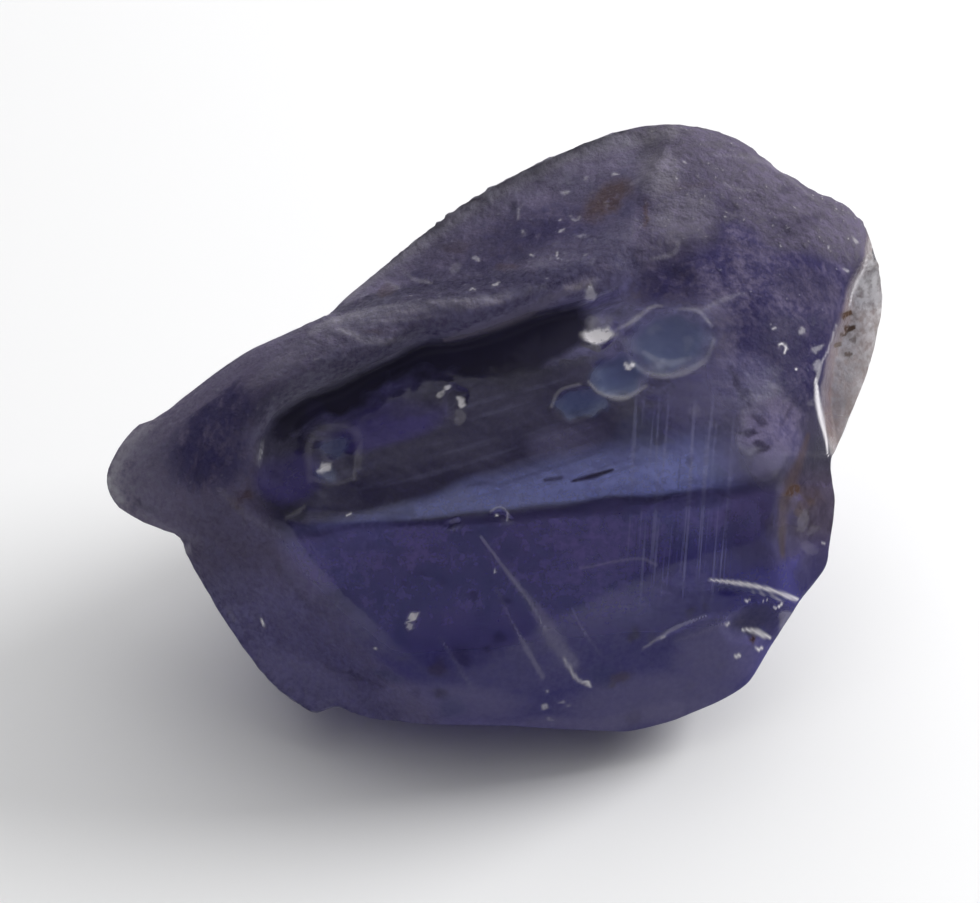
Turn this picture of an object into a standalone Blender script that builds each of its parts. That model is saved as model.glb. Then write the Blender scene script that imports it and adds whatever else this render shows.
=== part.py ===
"""Rough spinel: one broken, waterworn crystal that stands on a small flat face.

The crystal is shaped in a leaning frame, in millimetres. "Across" runs along +X, "rise" runs up a
plane that leans back from upright, and "out" is square to that plane, toward the front.
"""
import math

import bmesh
import bpy
import numpy as np

# Overall build
MM = 0.001
NAME = "rough_spinel"
LEAN = math.radians(40.0)
CUTS = 71
KEPT_SHARE = 0.125
MIDDLE = (0.06, 3.42)

# Outline of the crystal seen square to the leaning plane: across, rise, and how far out it lies
OUTLINE = [
    (4.20, 3.35, 0.35), (4.26, 3.41, -0.75), (4.39, 3.70, -1.05), (4.51, 3.99, -1.15),
    (4.67, 4.40, -1.25), (4.81, 4.92, -1.30), (4.86, 5.40, -1.25), (4.72, 6.05, -0.85),
    (4.44, 6.45, -0.65), (3.96, 6.70, -0.70), (3.50, 6.97, -0.80), (3.00, 7.34, -0.95),
    (2.40, 7.49, -0.90), (1.75, 7.46, -0.80), (1.09, 7.25, -0.60), (0.36, 6.92, -0.40),
    (-0.47, 6.45, -0.25), (-1.11, 5.95, -0.20), (-1.85, 5.34, -0.10), (-2.02, 5.17, 0.00),
    (-2.14, 5.08, 0.55), (-2.56, 4.89, 0.70), (-3.16, 4.60, 0.65), (-3.85, 4.11, 0.45),
    (-4.21, 3.83, 0.30), (-4.44, 3.75, 0.15), (-4.65, 3.51, 0.18), (-4.85, 3.11, 0.25),
    (-4.72, 2.74, 0.30), (-4.31, 2.49, 0.35), (-3.96, 2.36, 0.40), (-3.84, 2.11, 0.45),
    (-3.56, 1.61, 0.45), (-3.23, 1.10, 0.50), (-2.81, 0.55, 0.60), (-2.38, 0.21, 0.70),
    (-2.21, 0.15, 0.75), (-2.06, 0.21, 0.70), (-1.90, 0.21, 0.70), (-1.56, 0.09, 0.80),
    (-0.81, 0.01, 0.90), (0.06, 0.00, 0.95), (1.31, -0.07, 0.90), (1.81, -0.05, 0.85),
    (2.44, 0.14, 0.75), (3.12, 0.49, 0.65), (3.41, 0.93, 0.60), (3.81, 1.55, 0.60),
    (4.11, 1.95, 0.50), (4.17, 2.24, 0.50), (4.24, 2.74, 0.45), (4.19, 3.17, 0.40),
]

# Broken front: two curved faces that meet along a nearly level shelf
SHELF_OUT = 2.36
SHELF_RISE = 2.67
SHELF_TILT = 0.105
SHELF_BEND = -0.005
LOWER_SLOPE = 0.19
LOWER_CURVE = -0.012
UPPER_SLOPE = -0.345
LOWER_BOW = 0.041
UPPER_BOW = 0.030
BOW_MIDDLE = 1.1

# Flat faces of the front: out at the frame's origin, slope across, slope up the rise
LEFT_FACET = (1.45, 0.52, 0.76)
RIGHT_FACE = (6.65, -1.57, 0.34)
FOOT_FACET = (1.41, -0.24, 0.64)
TOP_FACE = (5.95, -0.09, -0.75)
BACK_HOLLOW = (9.89, 0.68, -1.60)

# Ridge that runs from the nose to the top: its crest and its height out along the way
CREST = [(-5.44, 2.80), (-4.31, 3.11), (-3.31, 3.70), (-2.44, 4.47), (-1.69, 4.86),
         (-0.94, 5.09), (0.31, 5.35), (1.31, 5.65), (1.94, 5.95), (2.56, 6.17)]
CREST_ACROSS = (-5.4, -4.85, -4.3, -3.7, -2.9, -2.3, -0.9, 0.3, 1.3, 1.9)
CREST_OUT = (0.5, 0.75, 1.1, 1.45, 1.72, 1.82, 1.72, 1.58, 1.42, 1.3)
CREST_FALL_BACK = 0.55
CREST_FALL_FRONT = 0.13

# Edge of the broken front, where it drops from the ridge into the long hollow below it
FRONT_EDGE = [(-0.89, 0.15), (-1.55, 0.71), (-2.23, 1.39), (-2.84, 2.20), (-3.12, 2.80),
              (-3.09, 3.36), (-2.90, 3.95), (-2.44, 4.24), (-1.69, 4.61), (-1.01, 4.90),
              (-0.19, 5.09), (0.56, 5.34), (1.19, 5.51), (1.81, 5.83), (2.09, 6.42), (2.16, 7.80)]
HOLLOW_ACROSS = (-3.3, -3.05, -2.45, -1.7, -1.0, 0.55, 1.8, 2.5)
HOLLOW_DEEP = (0.05, 0.15, 0.36, 0.45, 0.50, 0.46, 0.28, 0)
HOLLOW_WIDE = 1.0

# Line behind the ridge, where the surface steps down to the rounded back
STEP_LINE = [(-2.31, 5.08), (-2.00, 5.12), (-1.44, 5.24), (-0.69, 5.31), (0.06, 5.40),
             (0.81, 5.55), (1.31, 5.75), (1.81, 6.03), (2.31, 6.24)]

# Sharp edge on the right, with a thin lobe lying behind it
RIGHT_EDGE = [(4.71, 6.36), (4.61, 6.05), (4.54, 5.78), (4.39, 5.42), (4.19, 4.80),
              (4.08, 4.42), (4.03, 4.15), (4.10, 3.74), (4.20, 3.35), (4.31, 3.05)]
LOBE_OUT = 0.35
LOBE_SLOPE = -0.25

# Chips: across, rise, half width, half height, turn in degrees, depth
CHIPS = [
    (2.18, 4.76, 0.55, 0.42, 12, 0.09), (1.54, 4.35, 0.38, 0.28, 14, 0.07),
    (1.07, 4.00, 0.35, 0.19, 2, 0.05), (1.29, 4.86, 0.25, 0.17, 20, 0.05),
    (-2.00, 3.38, 0.30, 0.34, 0, 0.06), (-0.50, 4.03, 0.16, 0.23, 0, 0.05),
    (3.20, 1.27, 0.42, 0.24, 12, 0.14), (3.91, 2.40, 0.30, 0.55, 5, 0.10),
    (-1.88, 0.15, 0.20, 0.10, 0, 0.10), (-4.41, 3.55, 0.25, 0.15, -35, 0.06),
]

# Faces of the back and underside: direction they face in the part's own axes, and distance
BACK_FACES = [
    ((0, 0, -1), 0.35), ((-0.06, 0.90, 0.43), 7.15), ((0, 0.93, -0.36), 4.55),
    ((0.72, 0.66, 0.20), 7.0), ((0.70, 0.50, -0.50), 3.9), ((-0.62, 0.76, 0.12), 5.0),
    ((-0.52, 0.60, -0.60), 2.9), ((-0.86, 0.12, -0.50), 3.1), ((0.86, 0.10, -0.50), 3.3),
]

# Colour and finish
COLOUR = (0.045, 0.035, 0.16, 1.0)
ROUGHNESS = 0.3


def ramp(value, start, end):
    """Rise smoothly from 0 at start to 1 at end."""
    t = np.clip((value - start) / (end - start), 0, 1)
    return t * t * (3 - 2 * t)


def soft_min(values, width):
    """Lowest of several surfaces, with their meeting edges rounded over a width."""
    stack = np.stack(values)
    low = stack.min(0)
    return low - width * np.log(np.exp(-(stack - low) / width).sum(0))


def smooth_line(points, closed=False, steps=6):
    """Curve through the points, as a fine polyline."""
    p = np.asarray(points, float)
    if closed:
        a, b, c, d = np.roll(p, 1, 0), p, np.roll(p, -1, 0), np.roll(p, -2, 0)
    else:
        q = np.vstack([2 * p[0] - p[1], p, 2 * p[-1] - p[-2]])
        a, b, c, d = q[:-3], q[1:-2], q[2:-1], q[3:]
    t = (np.arange(steps) / steps)[:, None, None]
    curve = 0.5 * (2 * b + (c - a) * t + (2 * a - 5 * b + 4 * c - d) * t**2
                   + (3 * b - a - 3 * c + d) * t**3)
    curve = curve.transpose(1, 0, 2).reshape(-1, p.shape[1])
    return curve if closed else np.vstack([curve, p[-1]])


def from_line(points, across, rise):
    """Signed distance to a curve, positive on its left, and the share of its length."""
    curve = smooth_line(points)
    start = curve[:-1]
    run = np.diff(curve, axis=0)
    length = np.hypot(run[:, 0], run[:, 1])
    before = np.concatenate([[0.0], np.cumsum(length)])[:-1]
    best = np.full(across.shape, 1e9)
    side = np.ones(across.shape)
    share = np.zeros(across.shape)
    for (x, y), (dx, dy), size, done in zip(start, run, length, before):
        rx, ry = across - x, rise - y
        t = np.clip((rx * dx + ry * dy) / size**2, 0, 1)
        away = np.hypot(rx - t * dx, ry - t * dy)
        near = away < best
        best = np.where(near, away, best)
        side = np.where(near, np.where(dx * ry - dy * rx < 0, -1.0, 1.0), side)
        share = np.where(near, (done + t * size) / length.sum(), share)
    return best * side, share


def tilted(face, across, rise):
    """How far out a flat face lies."""
    return face[0] + face[1] * across + face[2] * rise


def front_surface(across, rise):
    """How far out the broken front, the ridge, the rounded top and the right lobe lie."""
    # broken front with its shelf, and the long hollow under the ridge
    over = rise - (SHELF_RISE + SHELF_TILT * across + SHELF_BEND * across**2)
    bow = (across - BOW_MIDDLE) ** 2
    lower = SHELF_OUT + LOWER_SLOPE * over + LOWER_CURVE * over**2 - LOWER_BOW * bow
    upper = SHELF_OUT + UPPER_SLOPE * over - UPPER_BOW * bow
    right_face = tilted(RIGHT_FACE, across, rise)
    foot = tilted(FOOT_FACET, across, rise)
    broken = soft_min([lower, upper, right_face, foot], 0.03)
    edge, share = from_line(FRONT_EDGE, across, rise)
    inside = -edge
    depth = np.interp(across, HOLLOW_ACROSS, HOLLOW_DEEP) * ramp(rise, 2.5, 3.6)
    fade = np.exp(-((np.clip(inside - 0.28, 0, None) / HOLLOW_WIDE) ** 2))
    broken = broken - depth * ramp(inside, -0.03, 0.26) * fade
    # ridge and left facet
    crest, _ = from_line(CREST, across, rise)
    back_fall = CREST_FALL_BACK * crest**2
    front_fall = CREST_FALL_FRONT * np.minimum(-crest, 1.5) ** 2
    ridge = np.interp(across, CREST_ACROSS, CREST_OUT) - np.where(crest > 0, back_fall, front_fall)
    ridge = soft_min([ridge, tilted(LEFT_FACET, across, rise)], 0.05)
    worn_left = 1 - ramp(share, 0.28, 0.36)
    low = ridge + (broken - ridge) * ramp(inside + 0.25 * worn_left, -0.05, 0.12 + 0.55 * worn_left)
    # rounded back with its hollow, behind the ridge
    lean = across - 0.30 * (rise - 6.3)
    hollow = tilted(BACK_HOLLOW, across, rise) + 3 * ramp(lean, 1.45, 2.9)
    high = soft_min([tilted(TOP_FACE, across, rise), hollow], 0.05)
    behind, _ = from_line(STEP_LINE, across, rise)
    step = ramp(behind, -0.08, 0.32)
    left = 1 - ramp(across, 1.2, 2.1)
    surface = left * (low * (1 - step) + high * step) + (1 - left) * soft_min([low, high], 0.05)
    # thin lobe behind the right edge
    past, _ = from_line(RIGHT_EDGE, across, rise)
    lobe = np.minimum(surface, LOBE_OUT + LOBE_SLOPE * across)
    surface = surface + (lobe - surface) * ramp(past, -0.04, 0.18)
    # chips
    for x, y, wide, high_, turn, deep in CHIPS:
        c, s = math.cos(math.radians(turn)), math.sin(math.radians(turn))
        dx, dy = across - x, rise - y
        reach = ((c * dx + s * dy) / wide) ** 2 + ((c * dy - s * dx) / high_) ** 2
        surface = surface - deep * np.clip(1 - reach, 0, None) ** 0.8
    return surface


def back_surface(across, rise):
    """How far out the back and the underside lie: the furthest out of several worn faces."""
    sin, cos = math.sin(LEAN), math.cos(LEAN)
    found = []
    for normal, distance in BACK_FACES:
        x, y, z = np.array(normal) / np.linalg.norm(normal)
        found.append((distance - x * across - rise * (y * sin + z * cos)) / (z * sin - y * cos))
    return -soft_min([-f for f in found], 0.16)


def outline_at(angle):
    """Outline's reach and depth at each angle, as drawn and softened."""
    line = smooth_line([(x - MIDDLE[0], y - MIDDLE[1], out) for x, y, out in OUTLINE], closed=True)
    order = np.argsort(np.arctan2(line[:, 1], line[:, 0]))
    line = line[order]
    around = np.arctan2(line[:, 1], line[:, 0])
    even = np.linspace(-math.pi, math.pi, 720, endpoint=False)
    spread = np.exp(-0.5 * (np.arange(-60, 61) / 17) ** 2)
    spread /= spread.sum()
    results = []
    for values in (np.hypot(line[:, 0], line[:, 1]), line[:, 2]):
        drawn = np.interp(even, around, values, period=2 * math.pi)
        wrapped = np.concatenate([drawn[-60:], drawn, drawn[:60]])
        softened = np.convolve(wrapped, spread, "valid")
        results += [np.interp(angle, even, v, period=2 * math.pi) for v in (drawn, softened)]
    return results


def crystal_points(cube):
    """Move the points of a cube of side 2 onto the crystal's surface, in millimetres."""
    ball = np.tan(cube * math.pi / 4)
    ball /= np.linalg.norm(ball, axis=1, keepdims=True)
    angle = np.arctan2(ball[:, 1], ball[:, 0])
    polar = np.arccos(np.clip(ball[:, 2], -1, 1))
    polar = polar - 0.22 * np.sin(polar)
    share, facing = np.sin(polar), np.cos(polar) >= 0
    # reach of the surface at each angle: the outline's notches fade out toward the middle
    drawn, soft, drawn_out, soft_out = outline_at(angle)
    near = share**14
    reach = np.where(facing, drawn, soft + (drawn - soft) * near) * share
    across = MIDDLE[0] + reach * np.cos(angle)
    rise = MIDDLE[1] + reach * np.sin(angle)
    rim = soft_out + (drawn_out - soft_out) * near
    # front and back rise from the outline, rounder toward the top and sharper toward the foot
    top = 0.5 + 0.5 * np.cos(angle - 1.75)
    even = np.clip(share * (1 + (drawn / soft - 1) * (1 - near)), 0, 1)
    sharpness = 6 - 3.2 * top**2 + 7 * (1 - top) ** 4
    front_swell = (1 - even**sharpness) ** (0.5 + 0.12 * (1 - top))
    back_swell = np.sqrt(1 - share**3)
    front = front_surface(across, rise)
    back = soft_min([back_surface(across, rise), rim - 0.1], 0.1)
    out = np.where(facing, rim + (front - rim) * front_swell, rim + (back - rim) * back_swell)
    # out of the leaning frame
    sin, cos = math.sin(LEAN), math.cos(LEAN)
    return np.stack([across, rise * sin - out * cos, rise * cos + out * sin], axis=-1)


def spinel_material():
    """Deep blue-violet spinel."""
    material = bpy.data.materials.new("spinel")
    material.use_nodes = True
    shader = material.node_tree.nodes["Principled BSDF"]
    shader.inputs["Base Color"].default_value = COLOUR
    shader.inputs["Roughness"].default_value = ROUGHNESS
    shader.inputs["Metallic"].default_value = 0.0
    return material


def collection(name):
    """New collection in the scene."""
    made = bpy.data.collections.new(name)
    bpy.context.scene.collection.children.link(made)
    return made


def move_to(thing, home):
    """Put an object in one collection only."""
    for old in list(thing.users_collection):
        old.objects.unlink(thing)
    home.objects.link(thing)


def main():
    """Build the crystal and cut its resting face."""
    for thing in list(bpy.data.objects):
        bpy.data.objects.remove(thing, do_unlink=True)
    parts = collection(NAME)
    cutters = collection("cutters")

    # Crystal: a cube with a fine grid on its faces, moved onto the crystal's surface
    bpy.ops.mesh.primitive_cube_add(size=2)
    crystal = bpy.context.object
    crystal.name = NAME
    mesh = crystal.data
    grid = bmesh.new()
    grid.from_mesh(mesh)
    bmesh.ops.subdivide_edges(grid, edges=grid.edges[:], cuts=CUTS, use_grid_fill=True)
    grid.to_mesh(mesh)
    grid.free()
    flat = np.empty(len(mesh.vertices) * 3, np.float32)
    mesh.vertices.foreach_get("co", flat)
    points = crystal_points(flat.reshape(-1, 3).astype(float))
    low, high = points.min(0), points.max(0)
    points -= [(low[0] + high[0]) / 2, (low[1] + high[1]) / 2, 0]
    mesh.vertices.foreach_set("co", (points * MM).astype(np.float32).ravel())
    mesh.update()
    mesh.materials.append(spinel_material())
    move_to(crystal, parts)

    # Resting face: everything below the ground plane is cut off flat
    bpy.ops.mesh.primitive_cube_add(size=20 * MM, location=(0, 0, -10 * MM))
    ground = bpy.context.object
    ground.name = "ground_cutter"
    ground.hide_render = True
    ground.display_type = "WIRE"
    move_to(ground, cutters)

    thin = crystal.modifiers.new("fewer faces", "DECIMATE")
    thin.ratio = KEPT_SHARE
    thin.use_collapse_triangulate = True
    rest = crystal.modifiers.new("resting face", "BOOLEAN")
    rest.operation = "DIFFERENCE"
    rest.solver = "EXACT"
    rest.object = ground
    mesh.shade_smooth()
    mesh.set_sharp_from_angle(angle=math.radians(35))


main()
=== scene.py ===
"""Rough spinel: the crystal's fine surface, its material, the floor, the light and the camera.

The crystal is shaped in a leaning frame, in millimetres. "Across" runs along +X, "rise" runs up a
plane that leans back from upright, and "out" is square to that plane, toward the front.
"""
import logging
import math
from dataclasses import dataclass, field
from enum import Enum

import bpy
import numpy as np
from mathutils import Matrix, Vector


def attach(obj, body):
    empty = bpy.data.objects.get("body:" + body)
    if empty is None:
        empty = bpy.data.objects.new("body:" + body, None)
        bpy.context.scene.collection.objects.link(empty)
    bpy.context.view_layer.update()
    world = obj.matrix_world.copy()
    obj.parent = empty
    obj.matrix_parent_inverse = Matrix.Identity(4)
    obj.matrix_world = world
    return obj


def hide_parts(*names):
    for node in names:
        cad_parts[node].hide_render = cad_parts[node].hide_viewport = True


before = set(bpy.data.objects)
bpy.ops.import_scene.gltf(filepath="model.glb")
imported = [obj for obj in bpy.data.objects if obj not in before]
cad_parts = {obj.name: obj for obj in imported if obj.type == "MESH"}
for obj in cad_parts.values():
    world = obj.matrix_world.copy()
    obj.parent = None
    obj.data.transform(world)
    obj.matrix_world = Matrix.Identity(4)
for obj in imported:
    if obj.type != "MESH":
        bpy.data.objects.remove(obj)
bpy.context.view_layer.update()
LOG = logging.getLogger("rough_spinel")
MM = 0.001
NODE = "rough_spinel"


# Small helpers for surfaces


def ramp(value: np.ndarray, start: float, end: float) -> np.ndarray:
    """Rise smoothly from 0 to 1.

    Args:
        value: where to look.
        start: value at which the result leaves 0.
        end: value at which the result reaches 1.

    Returns:
        The smooth step, between 0 and 1.
    """
    t = np.clip((value - start) / (end - start), 0.0, 1.0)
    return t * t * (3.0 - 2.0 * t)


def soft_min(values: list[np.ndarray], width: float) -> np.ndarray:
    """Lowest of several surfaces, with the edges where they meet rounded.

    Args:
        values: heights of the surfaces.
        width: how wide the rounding is, in the heights' units.

    Returns:
        The rounded lowest height.
    """
    stack = np.stack(values)
    low = stack.min(0)
    return low - width * np.log(np.exp(-(stack - low) / width).sum(0))


def smooth_line(points: list[tuple[float, ...]], closed: bool = False, steps: int = 8) -> np.ndarray:
    """Curve through the points, as a fine polyline.

    Args:
        points: points that the curve passes through.
        closed: whether the last point joins the first.
        steps: stretches between two points.

    Returns:
        The polyline's points.
    """
    p = np.asarray(points, float)
    if closed:
        a, b, c, d = np.roll(p, 1, 0), p, np.roll(p, -1, 0), np.roll(p, -2, 0)
    else:
        q = np.vstack([2 * p[0] - p[1], p, 2 * p[-1] - p[-2]])
        a, b, c, d = q[:-3], q[1:-2], q[2:-1], q[3:]
    t = (np.arange(steps) / steps)[:, None, None]
    curve = 0.5 * (2 * b + (c - a) * t + (2 * a - 5 * b + 4 * c - d) * t**2
                   + (3 * b - a - 3 * c + d) * t**3)
    curve = curve.transpose(1, 0, 2).reshape(-1, p.shape[1])
    return curve if closed else np.vstack([curve, p[-1]])


@dataclass(frozen=True)
class Guide:
    """A curve drawn on the leaning plane, in millimetres."""

    points: tuple[tuple[float, float], ...]
    steps: int = 8

    def measure(self, across: np.ndarray, rise: np.ndarray) -> tuple[np.ndarray, np.ndarray]:
        """Find where points lie against the curve.

        Args:
            across: places along X.
            rise: places up the plane.

        Returns:
            Signed distance, positive on the curve's left, and the share of its length.
        """
        curve = smooth_line(list(self.points), steps=self.steps)
        start, run = curve[:-1], np.diff(curve, axis=0)
        length = np.hypot(run[:, 0], run[:, 1])
        before = np.concatenate([[0.0], np.cumsum(length)])[:-1]
        best, side, share = np.full(across.shape, 1e9), np.ones(across.shape), np.zeros(across.shape)
        for (x, y), (dx, dy), size, done in zip(start, run, length, before):
            rx, ry = across - x, rise - y
            t = np.clip((rx * dx + ry * dy) / size**2, 0, 1)
            away = np.hypot(rx - t * dx, ry - t * dy)
            near = away < best
            best = np.where(near, away, best)
            side = np.where(near, np.where(dx * ry - dy * rx < 0, -1.0, 1.0), side)
            share = np.where(near, (done + t * size) / length.sum(), share)
        return best * side, share


@dataclass(frozen=True)
class Flat:
    """A flat face: how far out it lies at the frame's origin, and its two slopes."""

    level: float
    across: float
    rise: float

    def out(self, across: np.ndarray, rise: np.ndarray) -> np.ndarray:
        """How far out the face lies.

        Args:
            across: places along X.
            rise: places up the plane.

        Returns:
            Distance out, in millimetres.
        """
        return self.level + self.across * across + self.rise * rise


@dataclass(frozen=True)
class Unevenness:
    """Seeded smooth unevenness: plane waves of about one length, summed in random directions."""

    seed: int
    length: float
    waves: int = 26

    def at(self, *coordinates: np.ndarray) -> np.ndarray:
        """Read the unevenness.

        Args:
            coordinates: one array for each axis, in millimetres.

        Returns:
            A number of about -1 to 1 at each point.
        """
        rng = np.random.default_rng(self.seed)
        direction = rng.normal(size=(self.waves, len(coordinates)))
        direction /= np.linalg.norm(direction, axis=1, keepdims=True)
        rate = 2 * math.pi / (self.length * rng.uniform(0.7, 1.6, self.waves))
        phase = rng.uniform(0, 2 * math.pi, self.waves)
        total = np.zeros(coordinates[0].shape)
        for k in range(self.waves):
            reach = sum(c * d for c, d in zip(coordinates, direction[k]))
            total += np.sin(reach * rate[k] + phase[k])
        return total * math.sqrt(1.0 / self.waves)


def waved(across: np.ndarray, rise: np.ndarray,
          *waves: tuple[int, int, float, float]) -> tuple[np.ndarray, np.ndarray]:
    """Shift places along X and up the plane by several kinds of unevenness.

    Args:
        across: places along X.
        rise: places up the plane.
        waves: for each kind, its seed along X and up the plane, its size and its length.

    Returns:
        The shifted places along X and up the plane.
    """
    x, y = across, rise
    for first, second, size, length in waves:
        x = x + size * Unevenness(first, length).at(across, rise)
        y = y + size * Unevenness(second, length).at(across, rise)
    return x, y


# Marks on the front: spots, streaks and small ledges


@dataclass(frozen=True)
class Spot:
    """An oval mark on the front: its middle, half sizes, turn in degrees, and strength."""

    across: float
    rise: float
    wide: float
    high: float
    turn: float = 0.0
    strength: float = 1.0

    def reach(self, across: np.ndarray, rise: np.ndarray) -> np.ndarray:
        """Squared distance from the middle, 1 at the rim.

        Args:
            across: places along X.
            rise: places up the plane.

        Returns:
            The squared share of the way to the rim.
        """
        c, s = math.cos(math.radians(self.turn)), math.sin(math.radians(self.turn))
        dx, dy = across - self.across, rise - self.rise
        return ((c * dx + s * dy) / self.wide) ** 2 + ((c * dy - s * dx) / self.high) ** 2

    def cover(self, across: np.ndarray, rise: np.ndarray) -> np.ndarray:
        """How strongly the mark covers each point, fading over its rim."""
        return self.strength * (1 - ramp(self.reach(across, rise), 0.35, 1.6))


@dataclass(frozen=True)
class Streak:
    """A line-shaped mark: its curve, its half width at even steps along it, and strength."""

    points: tuple[tuple[float, float], ...]
    wide: tuple[float, ...]
    strength: float = 1.0

    def cover(self, across: np.ndarray, rise: np.ndarray) -> np.ndarray:
        """How strongly the mark covers each point, fading to its sides.

        Args:
            across: places along X.
            rise: places up the plane.

        Returns:
            Its share at each point.
        """
        away, share = Guide(self.points, 4).measure(across, rise)
        wide = np.interp(share, np.linspace(0, 1, len(self.wide)), self.wide)
        return self.strength * (1 - ramp(np.abs(away) / wide, 0.3, 1.4))


@dataclass(frozen=True)
class Ledge:
    """A small step: the surface drops on the curve's right and comes back over a short way."""

    points: tuple[tuple[float, float], ...]
    drop: float
    back: float

    def depth(self, across: np.ndarray, rise: np.ndarray) -> np.ndarray:
        """How deep the step is: it drops at the curve and fades at both ends.

        Args:
            across: places along X.
            rise: places up the plane.

        Returns:
            Depth at each point, in millimetres.
        """
        away, share = Guide(self.points, 4).measure(across, rise)
        ends = ramp(share, 0.0, 0.25) * (1 - ramp(share, 0.75, 1.0))
        return self.drop * ends * ramp(-away, 0.0, 0.04) * (1 - ramp(-away, 0.06, self.back))


@dataclass(frozen=True)
class Chip:
    """A shallow dished chip with a crisp rim."""

    oval: Spot
    deep: float

    def depth(self, across: np.ndarray, rise: np.ndarray) -> np.ndarray:
        """How deep the chip is at each point, in millimetres."""
        return self.deep * np.clip(1 - self.oval.reach(across, rise), 0, None) ** 0.8


class Tone(Enum):
    """What a mark does to the surface's colour."""

    PALE = 0
    DARK = 1
    RUST = 2
    BLUE = 3


BIG_CHIP = Spot(2.18, 4.76, 0.55, 0.42, 12)
MIDDLE_CHIP = Spot(1.54, 4.35, 0.38, 0.28, 14)
SMALL_CHIP = Spot(1.07, 4.00, 0.35, 0.19, 2)
SQUARE_CHIP = Spot(-2.00, 3.38, 0.30, 0.34)

CHIPS = (
    Chip(BIG_CHIP, 0.09), Chip(MIDDLE_CHIP, 0.07), Chip(SMALL_CHIP, 0.05),
    Chip(Spot(1.29, 4.86, 0.25, 0.17, 20), 0.05), Chip(SQUARE_CHIP, 0.06),
    Chip(Spot(-0.5, 4.03, 0.16, 0.23), 0.05), Chip(Spot(3.2, 1.27, 0.42, 0.24, 12), 0.14),
    Chip(Spot(3.91, 2.4, 0.3, 0.55, 5), 0.1), Chip(Spot(-1.88, 0.15, 0.2, 0.1), 0.1),
    Chip(Spot(-4.41, 3.55, 0.25, 0.15, -35), 0.06), Chip(Spot(0.05, 2.61, 0.11, 0.1), 0.03),
    Chip(Spot(-0.53, 2.51, 0.11, 0.07), 0.04), Chip(Spot(1.64, 5.75, 0.2, 0.16), 0.05),
    Chip(Spot(2.28, 5.6, 0.18, 0.12), 0.04), Chip(Spot(-1.3, 5.42, 0.24, 0.09, 20), 0.08),
    Chip(Spot(-0.56, 5.72, 0.16, 0.12), 0.04), Chip(Spot(0.22, 6.4, 0.09, 0.14), 0.04),
    Chip(Spot(1, 6.34, 0.11, 0.09), 0.03), Chip(Spot(0.25, 5.78, 0.2, 0.12, -40), 0.08),
    Chip(Spot(2.88, 6.46, 0.22, 0.09, -25), 0.06), Chip(Spot(3.55, 6.25, 0.15, 0.12), 0.06),
    Chip(Spot(3.95, 6.28, 0.22, 0.1, 30), 0.07), Chip(Spot(3.62, 6.68, 0.12, 0.08), 0.03),
    Chip(Spot(-3.84, 2.2, 0.12, 0.14), 0.04), Chip(Spot(4.38, 4.85, 0.22, 0.4, 10), 0.05),
)

LEDGES = (
    Ledge(((2.6, 1.83), (3.09, 1.76), (3.44, 1.68), (3.85, 1.53)), 0.06, 0.24),
    Ledge(((3.05, 1.68), (3.35, 1.62), (3.75, 1.48)), 0.04, 0.14),
    Ledge(((3.02, 1.22), (3.25, 1.17), (3.5, 1.06)), 0.06, 0.2),
    Ledge(((-2.25, 0.78), (-1.81, 0.65), (-1.2, 0.42)), 0.03, 0.3),
    Ledge(((1.75, 0.88), (2.12, 1.15), (2.62, 1.36), (3, 1.4)), 0.03, 0.25),
    Ledge(((2.55, 7.12), (3.34, 7), (3.69, 6.78), (4.05, 6.5)), 0.05, 0.3),
    Ledge(((2.8, 6.8), (3.1, 6.66), (3.4, 6.63)), 0.03, 0.2),
)

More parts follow.
